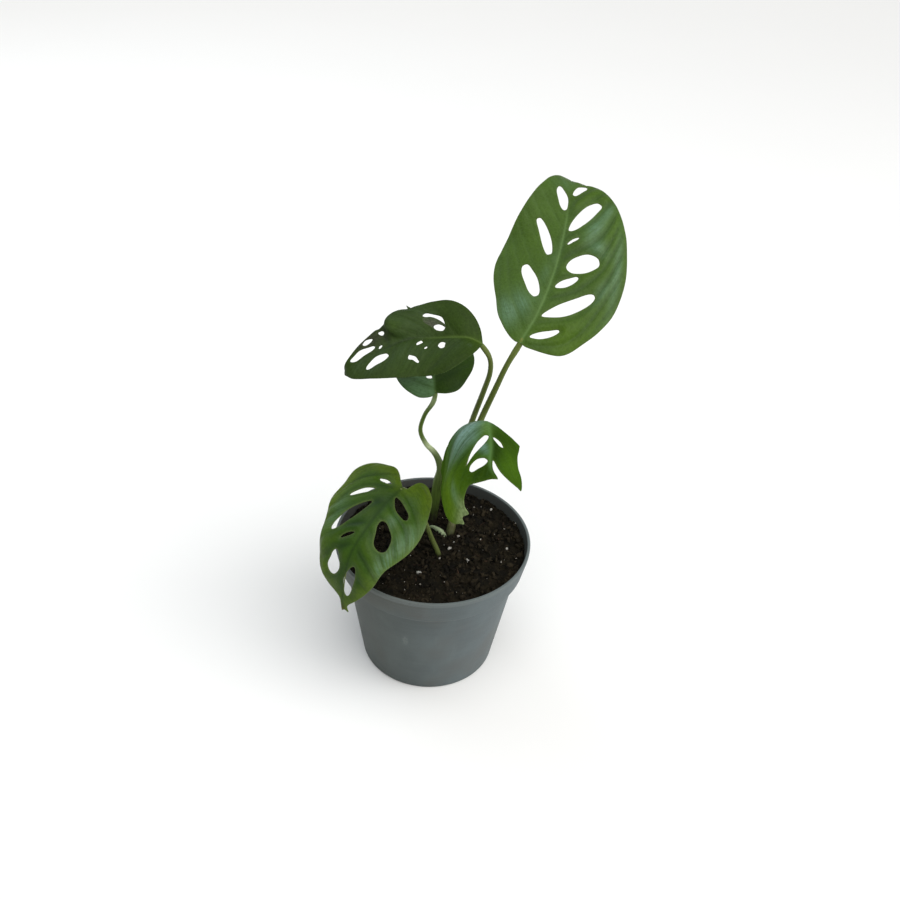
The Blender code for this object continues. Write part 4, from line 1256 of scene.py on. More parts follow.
@dataclass
class Blade:
    """A leaf: its blade with quilted faces, sunk veins, a raised rib below and round edges, and its petiole.

    Pairs named fade are how far from an edge, from the midrib or along it something starts and ends. Waves
    are how many ripples there are, the shortest, the longest and the seed of their draw.
    """

    RIB = "rib"
    VEIN = "vein"
    RIM = "rim"
    UNDER = "under"
    YELLOW_AND_GLOW = "yellow_and_glow"
    PAINTED_SHADE = "dark"
    PAINTED_SHEEN = "painted_sheen"
    DRY = "dry"
    LANE = "lane"
    OUT = "out"

    leaf: Leaf
    thickness: float = 0.62
    edge_step: float = 1.0
    grid_step: float = 1.15
    edge_rings: Flat = (0.12, 0.34)
    edge_round: float = 0.42
    waver: float = 0.9
    waver_waves: Four = (12, 14.0, 44.0, 21)
    rib_groove: float = 0.22
    vein_groove: float = 0.16
    vein_ridge: float = 0.18
    vein_width: float = 0.6
    margin_reach: float = 7.0
    ripple_length: float = 23.0
    ripple_share: float = 0.6
    roughness: float = 0.12
    rough_waves: Four = (24, 6.0, 22.0, 7)
    out_fade: Flat = (0.5, 5.0)
    edge_fade: Flat = (0.0, 4.0)
    tip_fade: Flat = (0.72, 0.9)
    tip_share: float = 0.75
    shade_fade: Flat = (0.0, 3.5)
    halo_fade: Flat = (10.0, 0.5)
    tail_radius: float = 0.3
    tail_end: float = 0.86
    tail_points: int = 15
    tail_sink: float = 0.22
    groove: float = 0.12
    knee_length: float = 9.0
    knee_swell: float = 0.14
    # Painted highlights along the petiole: where they lie from its foot, how wide and how strong.
    highlight_runs: tuple[Place, ...] = ((80.0, 5.5, 1.0), (62.0, 14.0, 0.14))
    surface: BentSurface = field(init=False)

    def __post_init__(self) -> None:
        """Lays out the surface."""
        self.surface = BentSurface(self.leaf)

    def loops(self) -> list[np.ndarray]:
        """The flat outline, up the right side and back down the left, and the outline of each hole.

        Returns:
            Loops of (side, along) points.
        """
        base, tip = (0.0, 0.0), (0.0, self.surface.length)
        right = spline((base, *self.leaf.right, tip), self.edge_step)
        left = spline((base, *self.leaf.left, tip), self.edge_step)
        return [np.vstack((right, left[1:-1][::-1])), *(h.outline(self.edge_step) for h in self.leaf.holes)]

    def split(self, loops: list[np.ndarray]) -> tuple[np.ndarray, np.ndarray]:
        """Splits the flat blade into triangles.

        The points are the loops, rings just inside them, the midrib and a three-way grid.

        Args:
            loops: The outline and the holes.

        Returns:
            (side, along) points and triangles that turn left.
        """
        low, high = loops[0].min(axis=0), loops[0].max(axis=0)
        rows = np.arange(low[1], high[1], self.grid_step * sin(pi / 3))
        columns = np.arange(low[0], high[0], self.grid_step)
        shift = self.grid_step / 2 * (np.arange(len(rows)) % 2)
        grid = np.stack(np.broadcast_arrays(columns + shift[:, None], rows[:, None]), axis=-1).reshape(-1, 2)
        grid = grid[np.abs(grid[:, 0]) > self.grid_step * 0.45]
        rib = np.arange(self.grid_step, self.surface.length - self.grid_step / 2, self.grid_step)
        grid = np.vstack((grid, np.column_stack((np.zeros(len(rib)), rib))))
        rings = np.vstack([self.beside(loop, depth) for loop in loops for depth in self.edge_rings])
        points = np.vstack((*loops, self.clear(rings, loops, self.edge_rings[0] * 0.9),
                            self.clear(grid, loops, self.edge_rings[-1] + self.grid_step * 0.4)))
        first = np.cumsum([0, *(len(loop) for loop in loops)])
        edges = [(int(a + i), int(a + (i + 1) % len(loop)))
                 for a, loop in zip(first, loops) for i in range(len(loop))]
        made = delaunay_2d_cdt(list(map(Vector, points.tolist())), edges, [], 0, 1e-6, False)
        flat = np.array(list(map(tuple, made[0])))
        faces = np.array(made[2])
        faces = faces[self.within(flat[faces].mean(axis=1), loops)]
        corners = flat[faces]
        turn = np.cross(corners[:, 1] - corners[:, 0], corners[:, 2] - corners[:, 0])
        faces[turn < 0] = faces[turn < 0][:, ::-1]
        used, index = np.unique(faces, return_inverse=True)
        return flat[used], index.reshape(faces.shape)

    def beside(self, loop: np.ndarray, depth: float) -> np.ndarray:
        """A loop's points moved to both sides by a depth.

        Args:
            loop: The points in order.
            depth: How far they are moved.

        Returns:
            Twice as many points.
        """
        way = unit(np.roll(loop, -1, axis=0) - np.roll(loop, 1, axis=0))
        across = np.column_stack((-way[:, 1], way[:, 0])) * depth
        return np.vstack((loop + across, loop - across))

    def within(self, points: np.ndarray, loops: list[np.ndarray]) -> np.ndarray:
        """Which points lie in the outline and in no hole."""
        in_hole = [inside(points, hole) for hole in loops[1:]]
        return inside(points, loops[0]) & ~np.any(in_hole, axis=0)

    def gap_to(self, points: np.ndarray, loops: list[np.ndarray]) -> np.ndarray:
        """How far each point is from the nearest edge."""
        return np.min([distance(points, loop) for loop in loops], axis=0)

    def clear(self, points: np.ndarray, loops: list[np.ndarray], gap: float) -> np.ndarray:
        """The points that lie on the blade and more than a gap from its edges."""
        return points[self.within(points, loops) & (self.gap_to(points, loops) > gap)]

    def veins(self, flat: np.ndarray) -> np.ndarray:
        """How the side veins lie under each point.

        Veins run midway between neighbouring holes, and about the plan's gap apart where there are none.

        Args:
            flat: (side, along) points.

        Returns:
            Rows of the distance to the nearest vein, the swelling between veins in millimetres, how near
            the crest between two veins each point is, how dark the shade painted over the valley is, and
            where on the midrib the vein through it would start. The valley is below 0 on a crest, where it is
            painted lighter.
        """
        found = np.zeros((5, len(flat)))
        length = self.surface.length
        for sign, plan in ((1, self.leaf.veins_right), (-1, self.leaf.veins_left)):
            half = flat[:, 0] * sign >= 0
            holes = np.array([h.middle() for h in self.leaf.holes if h.middle()[0] * sign > 0])
            stops = [-0.9 * length, *np.sort(plan.origin(holes, length)), 1.05 * length]
            starts = np.concatenate([np.linspace(a, b, 2 * max(1, round((b - a) / plan.gap)) + 1)[1::2]
                                     for a, b in zip(stops, stops[1:])])
            lane = plan.origin(flat[half], length)
            start = lane + self.waver * ripples(flat[half], *self.waver_waves)
            steep = plan.slope(flat[half], start, length)
            gap = np.abs(start[:, None] - starts).min(axis=1) / np.sqrt(1 + steep**2)
            count, between = np.divmod(np.interp(start, starts, np.arange(len(starts))), 1)
            crest = np.sin(pi * between)
            swell = plan.puff * crest**0.8 * (0.85 + 0.3 * np.sin(2.4 * count + sign))
            # Painted shade in the valleys over the veins, and painted light, below 0, on the crests between
            # them.
            valley = plan.shade * ((1 - crest) ** 2 - 0.35 * crest**2)
            found[:, half] = gap, swell, crest, valley, lane
        return found

    def build(self) -> bpy.types.Object:
        """Makes the leaf.

        The middle surface is raised by the swelling between veins and a ripple at the margin. Each face lies
        half the thickness from it, less near an edge along a quarter circle, so both meet at the edge.

        Returns:
            The object.
        """
        leaf, loops = self.leaf, self.loops()
        flat, faces = self.split(loops)
        count, out = len(flat), np.abs(flat[:, 0])
        share = (flat[:, 1] / self.surface.length).clip(0, 1)
        margin, rim_gap = self.gap_to(flat, loops), distance(flat, loops[0])
        inner = margin >= 1e-4
        drawn = flat + total(leaf.drawn, flat)[:, None] * (0, 1)
        middle, normal = self.surface.place(drawn), self.surface.normal(drawn)
        vein_gap, swell, crest, valley, lane = self.veins(flat)
        rib = bell(out, leaf.rib_width * (1.15 - 0.75 * share))
        vein = bell(vein_gap, self.vein_width) * smooth(margin, 0, 2.5) * smooth(out, 0, 1.5)
        valley = valley * smooth(out, *self.out_fade) * smooth(margin, *self.shade_fade)
        swell = swell * smooth(margin, *self.edge_fade) * smooth(out, *self.out_fade)
        wave = np.sin(tau * flat[:, 1] / self.ripple_length + np.sign(flat[:, 0]))
        ripple = leaf.ripple * smooth(rim_gap, self.margin_reach, 0) * wave * smooth(out, 3, 9)
        rise = (swell * (1 - self.tip_share * smooth(share, *self.tip_fade)) + ripple * self.ripple_share
                + self.roughness * ripples(flat, *self.rough_waves)
                + total((*leaf.puffs, *leaf.creases), flat))
        half = self.thickness / 2 * np.sqrt(1 - (1 - (margin / self.edge_round).clip(0, 1)) ** 2)
        solid = smooth(margin, 0, 1.2)
        top = rise + half - solid * (self.rib_groove * rib + self.vein_groove * vein)
        below = rise - half - solid * self.vein_ridge * vein
        points = np.vstack((middle + normal * top[:, None], (middle + normal * below[:, None])[inner]))
        halo = leaf.halo * smooth(rim_gap, *self.halo_fade)
        lower = np.where(inner, count + np.cumsum(inner) - 1, np.arange(count))
        paint = {
            self.RIB: rib * smooth(share, leaf.rib_end + 0.15, leaf.rib_end - 0.15),
            self.VEIN: vein,
            self.RIM: smooth(margin, 0.7, 0.15),
            # A yellower green: painted glow from the patches and painted light on the crests, with the
            # margin's own yellower tint.
            self.YELLOW_AND_GLOW: total(leaf.yellow_and_glow, flat) + halo - valley.clip(None, 0),
            # Painted shade from the dark patches and the valleys over the veins.
            self.PAINTED_SHADE: total(leaf.dark, flat) + valley.clip(0),
            # Painted sheen from the blue-white patches, stronger on the crests between veins.
            self.PAINTED_SHEEN: total(leaf.painted_sheen, flat).clip(0, 1) * (0.45 + 0.55 * crest),
            self.DRY: total(leaf.dry, flat),
        }
        paint = {key: value.clip(0, 1) for key, value in paint.items()}
        paint |= {self.LANE: lane, self.OUT: flat[:, 0]}
        numbers = {key: np.concatenate((value, value[inner])) for key, value in paint.items()}
        numbers[self.UNDER] = np.concatenate((np.where(inner, 0.0, 0.5), np.ones(inner.sum())))
        uv = flat / UV_SPAN + (0.5, 0.1)
        return self.with_petiole(points, np.vstack((faces, lower[faces][:, ::-1])), numbers,
                                 np.vstack((uv, uv[inner])))

    def with_petiole(self, points: np.ndarray, faces: np.ndarray, numbers: dict[str, np.ndarray],
                     uv: np.ndarray) -> bpy.types.Object:
        """Adds the petiole, which runs on below the midrib as a tapering rib, and makes the object.

        Args:
            points: The blade's points, which are held within its solid's box.
            faces: The blade's triangles.
            numbers: Its values by attribute name.
            uv: Its (u, v) points.

        Returns:
            The object.
        """
        leaf, surface = self.leaf, self.surface
        stalk = Stalk(groove=self.groove)
        taper = self.tail_end * np.linspace(0, 1, self.tail_points) ** 1.3
        foot = np.array(leaf.petiole)
        tail = self.tail_radius + (foot[-1, 3] - self.tail_radius) * (1 - taper / self.tail_end) ** 1.4
        sunk = -(tail + self.thickness * self.tail_sink)
        under = surface.place(np.column_stack((np.zeros(len(taper)), taper * surface.length)), lift=sunk)
        path = spline(np.vstack((foot, np.column_stack((under, tail)))), stalk.step)
        line, run = path[:, :3], run_along(path[:, :3])
        base = run[int(np.argmin(np.linalg.norm(line - under[0], axis=1)))]
        knee = bell(run - base + self.knee_length * 0.55, self.knee_length * 0.5)
        radii = path[:, 3] * (1 + self.knee_swell * knee + 0.02 * np.sin(run * 2.1))
        tube, tube_faces, tube_uv = stalk.tube(line, radii)
        # A painted highlight part way up the petiole, added to the knee's own paleness.
        pale = sum(share * bell(run - centre, width) for centre, width, share in self.highlight_runs)
        extra = {Stalk.PALE_AND_HIGHLIGHT: stalk.each(leaf.knee * knee + leaf.petiole_highlight * pale),
                 Stalk.BROWN: np.zeros(len(tube)),
                 # darker towards the foot, by dirt and painted shade
                 Stalk.DIRT_AND_SHADE: smooth(tube[:, 2], leaf.dirt_and_shade_top, Soil.DIRT_AND_SHADE_HEIGHTS[1])}
        joined = {key: np.concatenate((numbers.get(key, np.zeros(len(points))),
                                       extra.get(key, np.zeros(len(tube))))) for key in numbers | extra}
        low, high = (np.array(corner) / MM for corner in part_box(leaf.name))
        return make_piece(
            leaf.name + "_foliage", np.vstack((points.clip(low, high), tube)),
            np.vstack((faces, tube_faces + len(points))), [leaf.finish, leaf.stalk], leaf.name,
            numbers=joined, uv=np.vstack((uv, tube_uv)),
            which=np.repeat((0, 1), (len(faces), len(tube_faces))))


@dataclass
class Stem:
    """The main stem, with its swollen joints, and the pale root that lies beside its foot."""

    stem_path: tuple[Four, ...] = (
        (9.4, 4.6, 66, 2.5), (9.7, 6.2, 77, 2.5), (10.2, 8.8, 84, 2.55), (11.4, 14.2, 90.5, 2.5),
        (11.5, 18.7, 98, 2.35), (11.7, 20.1, 104, 2.2), (12.8, 20.6, 112, 2.1), (15.3, 21.9, 126, 1.9))
    root_path: tuple[Four, ...] = (
        (6.8, 5.6, 74, 1.9), (7.0, 6.2, 81.5, 2.1), (6.2, 7.2, 84.5, 2.05), (4.2, 9.4, 85.7, 1.8),
        (1.6, 11.9, 85.7, 1.35), (-0.7, 13.9, 85.2, 1.05), (-2.7, 15.2, 83.0, 0.95), (-2.9, 15.6, 75, 0.9))
    joints: Four = (88.0, 99.0, 110.0, 121.0)
    joint_width: float = 1.1
    joint_swell: float = 0.09
    stem_finish: StalkFinish = StalkFinish("stem_skin", green=(0.11, 0.123, 0.045), brown_share=0.6)
    root_finish: StalkFinish = StalkFinish("root_skin", green=(0.26, 0.34, 0.17), pale=(0.46, 0.55, 0.34),
                                           brown_share=0.35, roughness=0.6)

    def tube(self, name: str, path: tuple[Four, ...], finish: StalkFinish, bulge: bool,
             pale: float) -> bpy.types.Object:
        """One tube along (x, y, z, radius) points.

        Args:
            name: The solid that it stands for.
            path: The points.
            finish: Its skin.
            bulge: Whether it swells and browns at the stem's joints.
            pale: How pale its skin is.

        Returns:
            The object.
        """
        stalk = Stalk(sides=28, step=0.7)
        line = spline(path, stalk.step)
        height = line[:, 2]
        ring = bell(height[:, None] - self.joints, self.joint_width).sum(axis=1) * bulge
        uneven = 0.03 * np.sin(height * 0.9) + 0.02 * np.sin(height * 2.3)
        points, faces, uv = stalk.tube(line[:, :3], line[:, 3] * (1 + self.joint_swell * ring + uneven))
        numbers = {
            Stalk.PALE_AND_HIGHLIGHT: np.full(len(points), pale),
            Stalk.BROWN: stalk.each(0.5 * ring),
            # darker towards the foot, by dirt and painted shade
            Stalk.DIRT_AND_SHADE: smooth(points[:, 2], *Soil.DIRT_AND_SHADE_HEIGHTS) * (0.5 + 0.5 * bulge),
        }
        return make_piece(name + "_grown", points, faces, [finish], name, numbers=numbers, uv=uv)

    def build(self) -> list[bpy.types.Object]:
        """Makes the stem and the root."""
        return [self.tube("stem", self.stem_path, self.stem_finish, True, 0.0),
                self.tube("aerial_root", self.root_path, self.root_finish, False, 0.6)]


@dataclass
class Pot:
    """A turned nursery pot: a rounded lip, a collar, a step and a tapered body, with drain holes below."""

    INSIDE = "inside"

    height: float = 89.4
    rim_radius: float = 60.0
    lip_height: float = 3.0
    lip_proud: float = 0.4
    lip_round: float = 0.55
    lip_ease: float = 1.0
    step_drop: float = 2.4
    collar_foot_radius: float = 57.1
    collar_foot_height: float = 73.5
    body_top_radius: float = 53.2
    base_radius: float = 42.4
    base_round: float = 1.6
    wall: float = 1.3
    floor: float = 2.0
    floor_radii: Four = (0.0, 12.0, 22.0, 32.0)
    sides: int = 240
    corner_points: int = 7
    longest_run: float = 2.5
    drain_count: int = 5
    drain_radius: float = 3.5
    drain_ring: float = 27.0
    finish: PotFinish = PotFinish()

    @property
    def collar_height(self) -> float:
        """How far the collar and the lip rise over the step."""
        return self.height - self.collar_foot_height

    def inner_radius(self, height: float) -> float:
        """The inside radius at a height above the step."""
        slope = (self.rim_radius - self.lip_proud - self.collar_foot_radius) / self.collar_height
        return self.collar_foot_radius - self.wall + slope * (height - self.collar_foot_height)

    def corner(self, before: np.ndarray, at: np.ndarray, after: np.ndarray, size: float) -> np.ndarray:
        """A rounded corner of a profile: a quadratic curve whose ends lie size away along each side.

        Args:
            before: The point that the profile comes from.
            at: The sharp corner.
            after: The point that it goes to.
            size: How far from the corner the curve starts and ends.

        Returns:
            (radius, height) points.
        """
        start, end = at + unit(before - at) * size, at + unit(after - at) * size
        t = np.linspace(0, 1, self.corner_points)[:, None]
        return (1 - t) ** 2 * start + 2 * t * (1 - t) * at + t**2 * end

    def profile(self) -> np.ndarray:
        """The profile, from the axis under the floor, up outside, over the rim and down inside.

        Returns:
            (radius, height) points.
        """
        step_height = self.collar_foot_height - self.wall
        lip_foot = self.height - self.lip_height
        corners = (
            (self.base_radius - 0.4, 0.0, self.base_round),
            (self.body_top_radius, step_height - self.step_drop, 1.6),
            (self.collar_foot_radius, self.collar_foot_height, 0.4),
            (self.rim_radius - self.lip_proud, lip_foot - self.lip_ease, 1.0),
            (self.rim_radius, lip_foot + self.lip_ease, 1.0),
            (self.rim_radius, self.height, self.lip_round),
            (self.inner_radius(self.height), self.height, 0.45),
            (self.inner_radius(self.collar_foot_height), self.collar_foot_height, 0.5),
            (self.body_top_radius - self.wall, step_height, 0.5),
            (self.base_radius - self.wall, self.floor, 1.0),
        )
        ends = np.array([(0.0, 0.0), *(corner[:2] for corner in corners), (0.0, self.floor)])
        curves = [self.corner(*ends[i:i + 3], corner[2]) for i, corner in enumerate(corners)]
        under, over = ([(radius, height) for radius in self.floor_radii] for height in (0.0, self.floor))
        return np.vstack((under, *curves, over[::-1]))

    def fill(self, profile: np.ndarray) -> np.ndarray:
        """Adds points to a profile's long runs, and a third column: 0 before the rim's middle and 1 after it.

        Args:
            profile: (radius, height) points.

        Returns:
            (radius, height, inside) rows.
        """
        rim = int(np.argmax(profile[:, 1])) + self.corner_points - 1
        rows = [np.array((*profile[0], 0.0))]
        for i, (start, end) in enumerate(zip(profile, profile[1:])):
            count = max(1, int(np.ceil(np.hypot(*(end - start)) / self.longest_run)))
            t = (np.arange(count) + 1)[:, None] / count
            rows.append(np.column_stack((start + (end - start) * t, np.full(count, float(i >= rim)))))
        return np.vstack(rows)

    def build(self) -> bpy.types.Object:
        """Turns the profile about the axis and cuts the drain holes.

        Returns:
            The object.
        """
        rows = self.fill(self.profile())[1:-1, :, None]
        turn = full_turn(self.sides)
        radius, height, is_inside = rows[:, 0], rows[:, 1], rows[:, 2, 0]
        rings = np.stack(np.broadcast_arrays(radius * np.cos(turn), radius * np.sin(turn), height), axis=-1)
        points, faces = capped_tube(rings)
        numbers = {self.INSIDE: np.concatenate((np.repeat(is_inside, self.sides), [0.0, 1.0]))}
        obj = make_piece("pot_moulding", points, faces, [self.finish], "pot", numbers=numbers)
        self.drain(obj)
        return obj

    def drain(self, obj: bpy.types.Object) -> None:
        """Cuts the drain holes through the floor with short cylinders, and keeps the result as the mesh.

        Args:
            obj: The pot.
        """
        cutters = []
        for angle in full_turn(self.drain_count):
            middle = (self.drain_ring * cos(angle), self.drain_ring * sin(angle), self.floor / 2)
            bpy.ops.mesh.primitive_cylinder_add(vertices=40, radius=self.drain_radius * MM,
                                                depth=4 * self.floor * MM, location=times(middle, MM))
            cutters.append(bpy.context.active_object)
            cut = obj.modifiers.new("Drain", "BOOLEAN")
            cut.object, cut.operation, cut.solver = cutters[-1], "DIFFERENCE", "EXACT"
        made = bpy.data.meshes.new_from_object(obj.evaluated_get(bpy.context.evaluated_depsgraph_get()))
        obj.modifiers.clear()
        obj.data = made
        for cutter in cutters:
            bpy.data.objects.remove(cutter, do_unlink=True)


@dataclass(frozen=True)
class Strewing:
    """How one kind of loose thing is strewn: how many, their sizes, their shape and their looks.

    A lump is stretched along its own axes by stretch and pushed in and out at each point by about jag of
    its size. It is turned at random, less so the smaller the four parts of tilt are, and seed fixes the draw.
    """

    count: int
    smallest: float
    largest: float
    stretch: Place
    jag: float
    seed: int
    finish: SoilFinish | PerliteFinish
    tilt: Four = (1.0, 1.0, 1.0, 1.0)
    lift: float = 0.0


class Scatter(Enum):
    """The loose things on the soil, by the names of their pieces."""

    CRUMB = "soil_crumbs"
    BARK = "soil_bark"
    PERLITE = "perlite_grains"


STREWINGS = {
    Scatter.CRUMB: Strewing(2500, 0.4, 2.2, (1.0, 0.75, 0.5), 0.42, 3,
                            SoilFinish("soil_crumb", (0.0041, 0.0035, 0.0025), (0.0405, 0.0315, 0.0185))),
    Scatter.BARK: Strewing(260, 0.9, 3.4, (1.0, 0.2, 0.12), 0.15, 5,
                           SoilFinish("soil_bark", (0.012, 0.0085, 0.006), (0.05, 0.029, 0.018)),
                           tilt=(1.0, 0.25, 0.25, 1.0)),
    Scatter.PERLITE: Strewing(60, 0.22, 0.5, (1.0, 0.85, 0.75), 0.16, 8, PerliteFinish(), lift=0.35),
}


@dataclass
class Soil:
    """Potting mix that fills the pot: a crumbly top on a closed body, with loose crumbs, bark and perlite.

    waves are (length, direction in degrees, height, phase) of the top's long swells. lump_waves and
    bank_waves are how many ripples there are, the shortest, the longest and the seed of their draw. stems
    are (x, y, radius) of what stands in the soil, and grains are (x, y, size) of the perlite that is plain
    to see. Sizes are the smallest, and how much larger one may be.
    """

    TONE = "tone"
    # Heights between which stalks darken towards the soil, by dirt and painted shade.
    DIRT_AND_SHADE_HEIGHTS = (92.0, 83.0)

    pot: Pot
    level: float = 82.0
    gap: float = 0.3
    mound: float = 1.6
    mound_radius: float = 26.0
    mound_centre: Flat = (0.0, 12.0)
    waves: tuple[Four, ...] = ((46.0, 12.0, 0.5, 0.6), (37.0, 101.0, 0.45, 1.1), (22.0, 47.0, 0.3, 2.0),
                               (24.0, 126.0, 0.3, 0.0))
    rings: int = 96
    sides: int = 300
    roughness: float = 1.1
    lump_waves: Four = (90, 2.6, 15.0, 11)
    bank_waves: Four = (30, 5.0, 16.0, 12)
    gathered: int = 260
    gathered_size: Flat = (0.45, 0.6)
    banked: int = 480
    banked_size: Flat = (0.4, 0.5)
    bank_gap: float = 0.8
    bank_width: float = 2.2
    bank_height: float = 1.3
    bank_fade: Flat = (51.0, 57.0)
    stems: tuple[Place, ...] = ((10.1, 8.4, 3.0), (-1.2, 21.2, 3.0), (4.5, -10.4, 2.0), (4.6, 9.2, 2.8))
    foot_heap: float = 0.9
    grains: tuple[Place, ...] = (
        (25.2, 40, 0.8), (36, 38.3, 0.95), (24.4, 32.2, 0.8), (15.6, 7.6, 1.1), (13.3, 2.2, 0.85),
        (10.3, -4.2, 1.15), (11.3, -2.8, 0.9), (29.6, 7.7, 0.65), (44.4, 18.8, 0.75), (46.1, 0.9, 0.95),
        (42.4, -12.4, 0.7), (21.8, -11.2, 0.95), (22.3, -12.9, 0.95), (1.3, -21.5, 0.8), (-7.4, -26.1, 1.35),
        (-6.2, -26.2, 1.2), (8.8, -33.3, 0.55), (-5.6, -35.5, 0.6), (4.9, -13.2, 0.85), (51.5, -7.3, 0.6),
        (38.3, 12.3, 0.5))

    def rise(self, x: np.ndarray, y: np.ndarray) -> np.ndarray:
        """How far the top rises over its level: a mound, long waves, heaps, a bank at the wall and a crumb.

        Args:
            x: Places to the right.
            y: Places to the back.

        Returns:
            A height for each place.
        """
        out = np.hypot(x - self.mound_centre[0], y - self.mound_centre[1])
        found = self.mound * bell(out, self.mound_radius)
        for length, direction, height, phase in self.waves:
            way = x * cos(radians(direction)) + y * sin(radians(direction))
            found = found + height * np.sin(tau * way / length + phase)
        for stem_x, stem_y, radius in self.stems:
            found = found + self.foot_heap * bell(np.hypot(x - stem_x, y - stem_y), 1.5 * radius)
        places = np.stack((x, y), axis=-1)
        lumps = ripples(places, *self.lump_waves)
        bank = smooth(np.hypot(x, y), *self.bank_fade) * (0.4 + ripples(places, *self.bank_waves))
        return found + self.bank_height * bank + self.roughness * (np.abs(lumps) * 1.3 - 0.5)

    def build(self) -> list[bpy.types.Object]:
        """Makes the soil's body and what lies on it.

        Returns:
            The objects.
        """
        pot, gap = self.pot, self.gap
        step_height = pot.collar_foot_height - pot.wall
        across = (pot.inner_radius(self.level) - gap) * np.linspace(0, 1, self.rings + 1)[1:]
        wall = np.array([
            (pot.inner_radius(pot.collar_foot_height) - gap, pot.collar_foot_height + gap),
            (pot.body_top_radius - pot.wall - gap, step_height + gap),
            (pot.base_radius - pot.wall - gap, pot.floor + gap),
            (20.0, pot.floor + gap),
        ])
        turn = full_turn(self.sides)
        radius = np.concatenate((across, wall[:, 0]))[:, None]
        height = np.concatenate((np.full(self.rings, self.level), wall[:, 1]))[:, None]
        x, y, z = np.broadcast_arrays(radius * np.cos(turn), radius * np.sin(turn), height)
        z = z.copy()
        z[:self.rings] += self.rise(x[:self.rings], y[:self.rings])
        points, faces = capped_tube(np.stack((x, y, z), axis=-1)[::-1])
        numbers = {self.TONE: np.zeros(len(points))}
        body = make_piece("soil_bed", points, faces, [SoilFinish("soil_peat")], "soil", numbers=numbers)
        return [body, *(self.scatter(kind) for kind in Scatter)]

    def lump(self) -> tuple[np.ndarray, np.ndarray]:
        """A ball: a cube of 3 by 3 points a side, pushed out to a sphere.

        Returns:
            Its 26 points and its 48 triangles.
        """
        corners = [place for place in product((-1.0, 0.0, 1.0), repeat=3) if any(place)]
        faces = []
        for axis, sign, a, b in product(range(3), (-1, 1), (-1.0, 0.0), (-1.0, 0.0)):
            square = [corners.index(tuple(np.roll((sign, a + da, b + db), axis)))
                      for da, db in ((0, 0), (1, 0), (1, 1), (0, 1))][::sign]
            faces.extend((square[:3], [square[0], *square[2:]]))
        return unit(np.array(corners)), np.array(faces)

    def ringed(self, draw: np.random.Generator, middle: tuple, reach: np.ndarray, size: Flat) -> np.ndarray:
        """Things at random turns about middles.

        Args:
            draw: The random source.
            middle: The x and the y that each lies about.
            reach: How far each lies from it.
            size: The smallest size, and how much larger one may be.

        Returns:
            Rows of x, y, size and tone.
        """
        way = draw.random(len(reach)) * tau
        sizes = size[0] + size[1] * draw.random(len(reach))
        tone = draw.random(len(reach)) ** 2
        return np.stack((middle[0] + reach * np.cos(way), middle[1] + reach * np.sin(way), sizes, tone))

    def places(self, draw: np.random.Generator, kind: Scatter) -> np.ndarray:
        """Where one kind of thing lies: evenly over the soil but clear of the stems, and then its own places.

        Crumbs gather at the stems and bank against the wall. Perlite has the grains that are plain to see.

        Args:
            draw: The random source.
            kind: What is strewn.

        Returns:
            Rows of x, y, size and tone.
        """
        plan, wall = STREWINGS[kind], self.pot.inner_radius(self.level)
        radius = (wall - self.gap - plan.largest) * np.sqrt(draw.random(plan.count))
        angle = draw.random(plan.count) * tau
        x, y = radius * np.cos(angle), radius * np.sin(angle)
        size = plan.smallest + (plan.largest - plan.smallest) * draw.random(plan.count) ** 3
        tone = draw.random(plan.count) ** 1.5
        off = [np.hypot(x - stem_x, y - stem_y) > keep_off + size for stem_x, stem_y, keep_off in self.stems]
        found = np.stack((x, y, size, tone))[:, np.all(off, axis=0)]
        if kind is Scatter.CRUMB:
            near = np.array(self.stems)[draw.integers(len(self.stems), size=self.gathered)].T
            reach = near[2] * (0.8 + 0.9 * draw.random(self.gathered))
            found = np.hstack((found, self.ringed(draw, near[:2], reach, self.gathered_size)))
            reach = wall - self.bank_gap - self.bank_width * draw.random(self.banked) ** 2
            found = np.hstack((found, self.ringed(draw, (0.0, 0.0), reach, self.banked_size)))
        if kind is Scatter.PERLITE:
            found[3] = 0.6 + 0.4 * found[3]
            marked = np.array(self.grains).T
            found = np.hstack((found, (*marked, 0.6 * smooth(marked[2], 1.2, 0.6))))
        return found

    def scatter(self, kind: Scatter) -> bpy.types.Object:
        """Strews one kind of lump over the soil, each sunk a little into it.

        Args:
            kind: What is strewn.

        Returns:
            The object.
        """
        plan = STREWINGS[kind]
        draw = np.random.default_rng(plan.seed)
        x, y, size, tone = self.places(draw, kind)
        count = len(size)
        ball, faces = self.lump()
        axes = np.array(plan.stretch) * (0.8 + 0.4 * draw.random((count, 3)))
        pushed = 1 + plan.jag * draw.normal(size=(count, len(ball), 1)).clip(-1.6, 1.6)
        shapes = ball * pushed * axes[:, None, :] * size[:, None, None]
        turned = np.einsum("nij,nvj->nvi", self.turns(draw, count, plan.tilt), shapes)
        lift = size * min(plan.stretch) * 0.35 + plan.lift
        middle = np.column_stack((x, y, self.level + self.rise(x, y) + lift))
        points = (middle[:, None, :] + turned).reshape(-1, 3)
        all_faces = (faces + np.arange(count)[:, None, None] * len(ball)).reshape(-1, 3)
        return make_piece(kind.value, points, all_faces, [plan.finish], "soil", False,
                          {self.TONE: np.repeat(tone, len(ball))})

    def turns(self, draw: np.random.Generator, count: int, tilt: Four) -> np.ndarray:
        """Random rotations: for a unit quaternion w + v, 1 + 2w[v] + 2[v][v], where [v] crosses with v.

        Args:
            draw: The random source.
            count: How many.
            tilt: How great the quaternion's four parts are.

        Returns:
            Rotation matrices.
        """
        quaternion = unit(draw.normal(size=(count, 4)) * tilt)
        w, v = quaternion[:, :1, None], quaternion[:, None, 1:]
        skew = np.cross(np.eye(3), v)
        return np.eye(3) + 2 * w * skew + 2 * skew @ skew


class Source(Enum):
    """The kinds of light."""

    WINDOW = "AREA"
    SKY = "SUN"


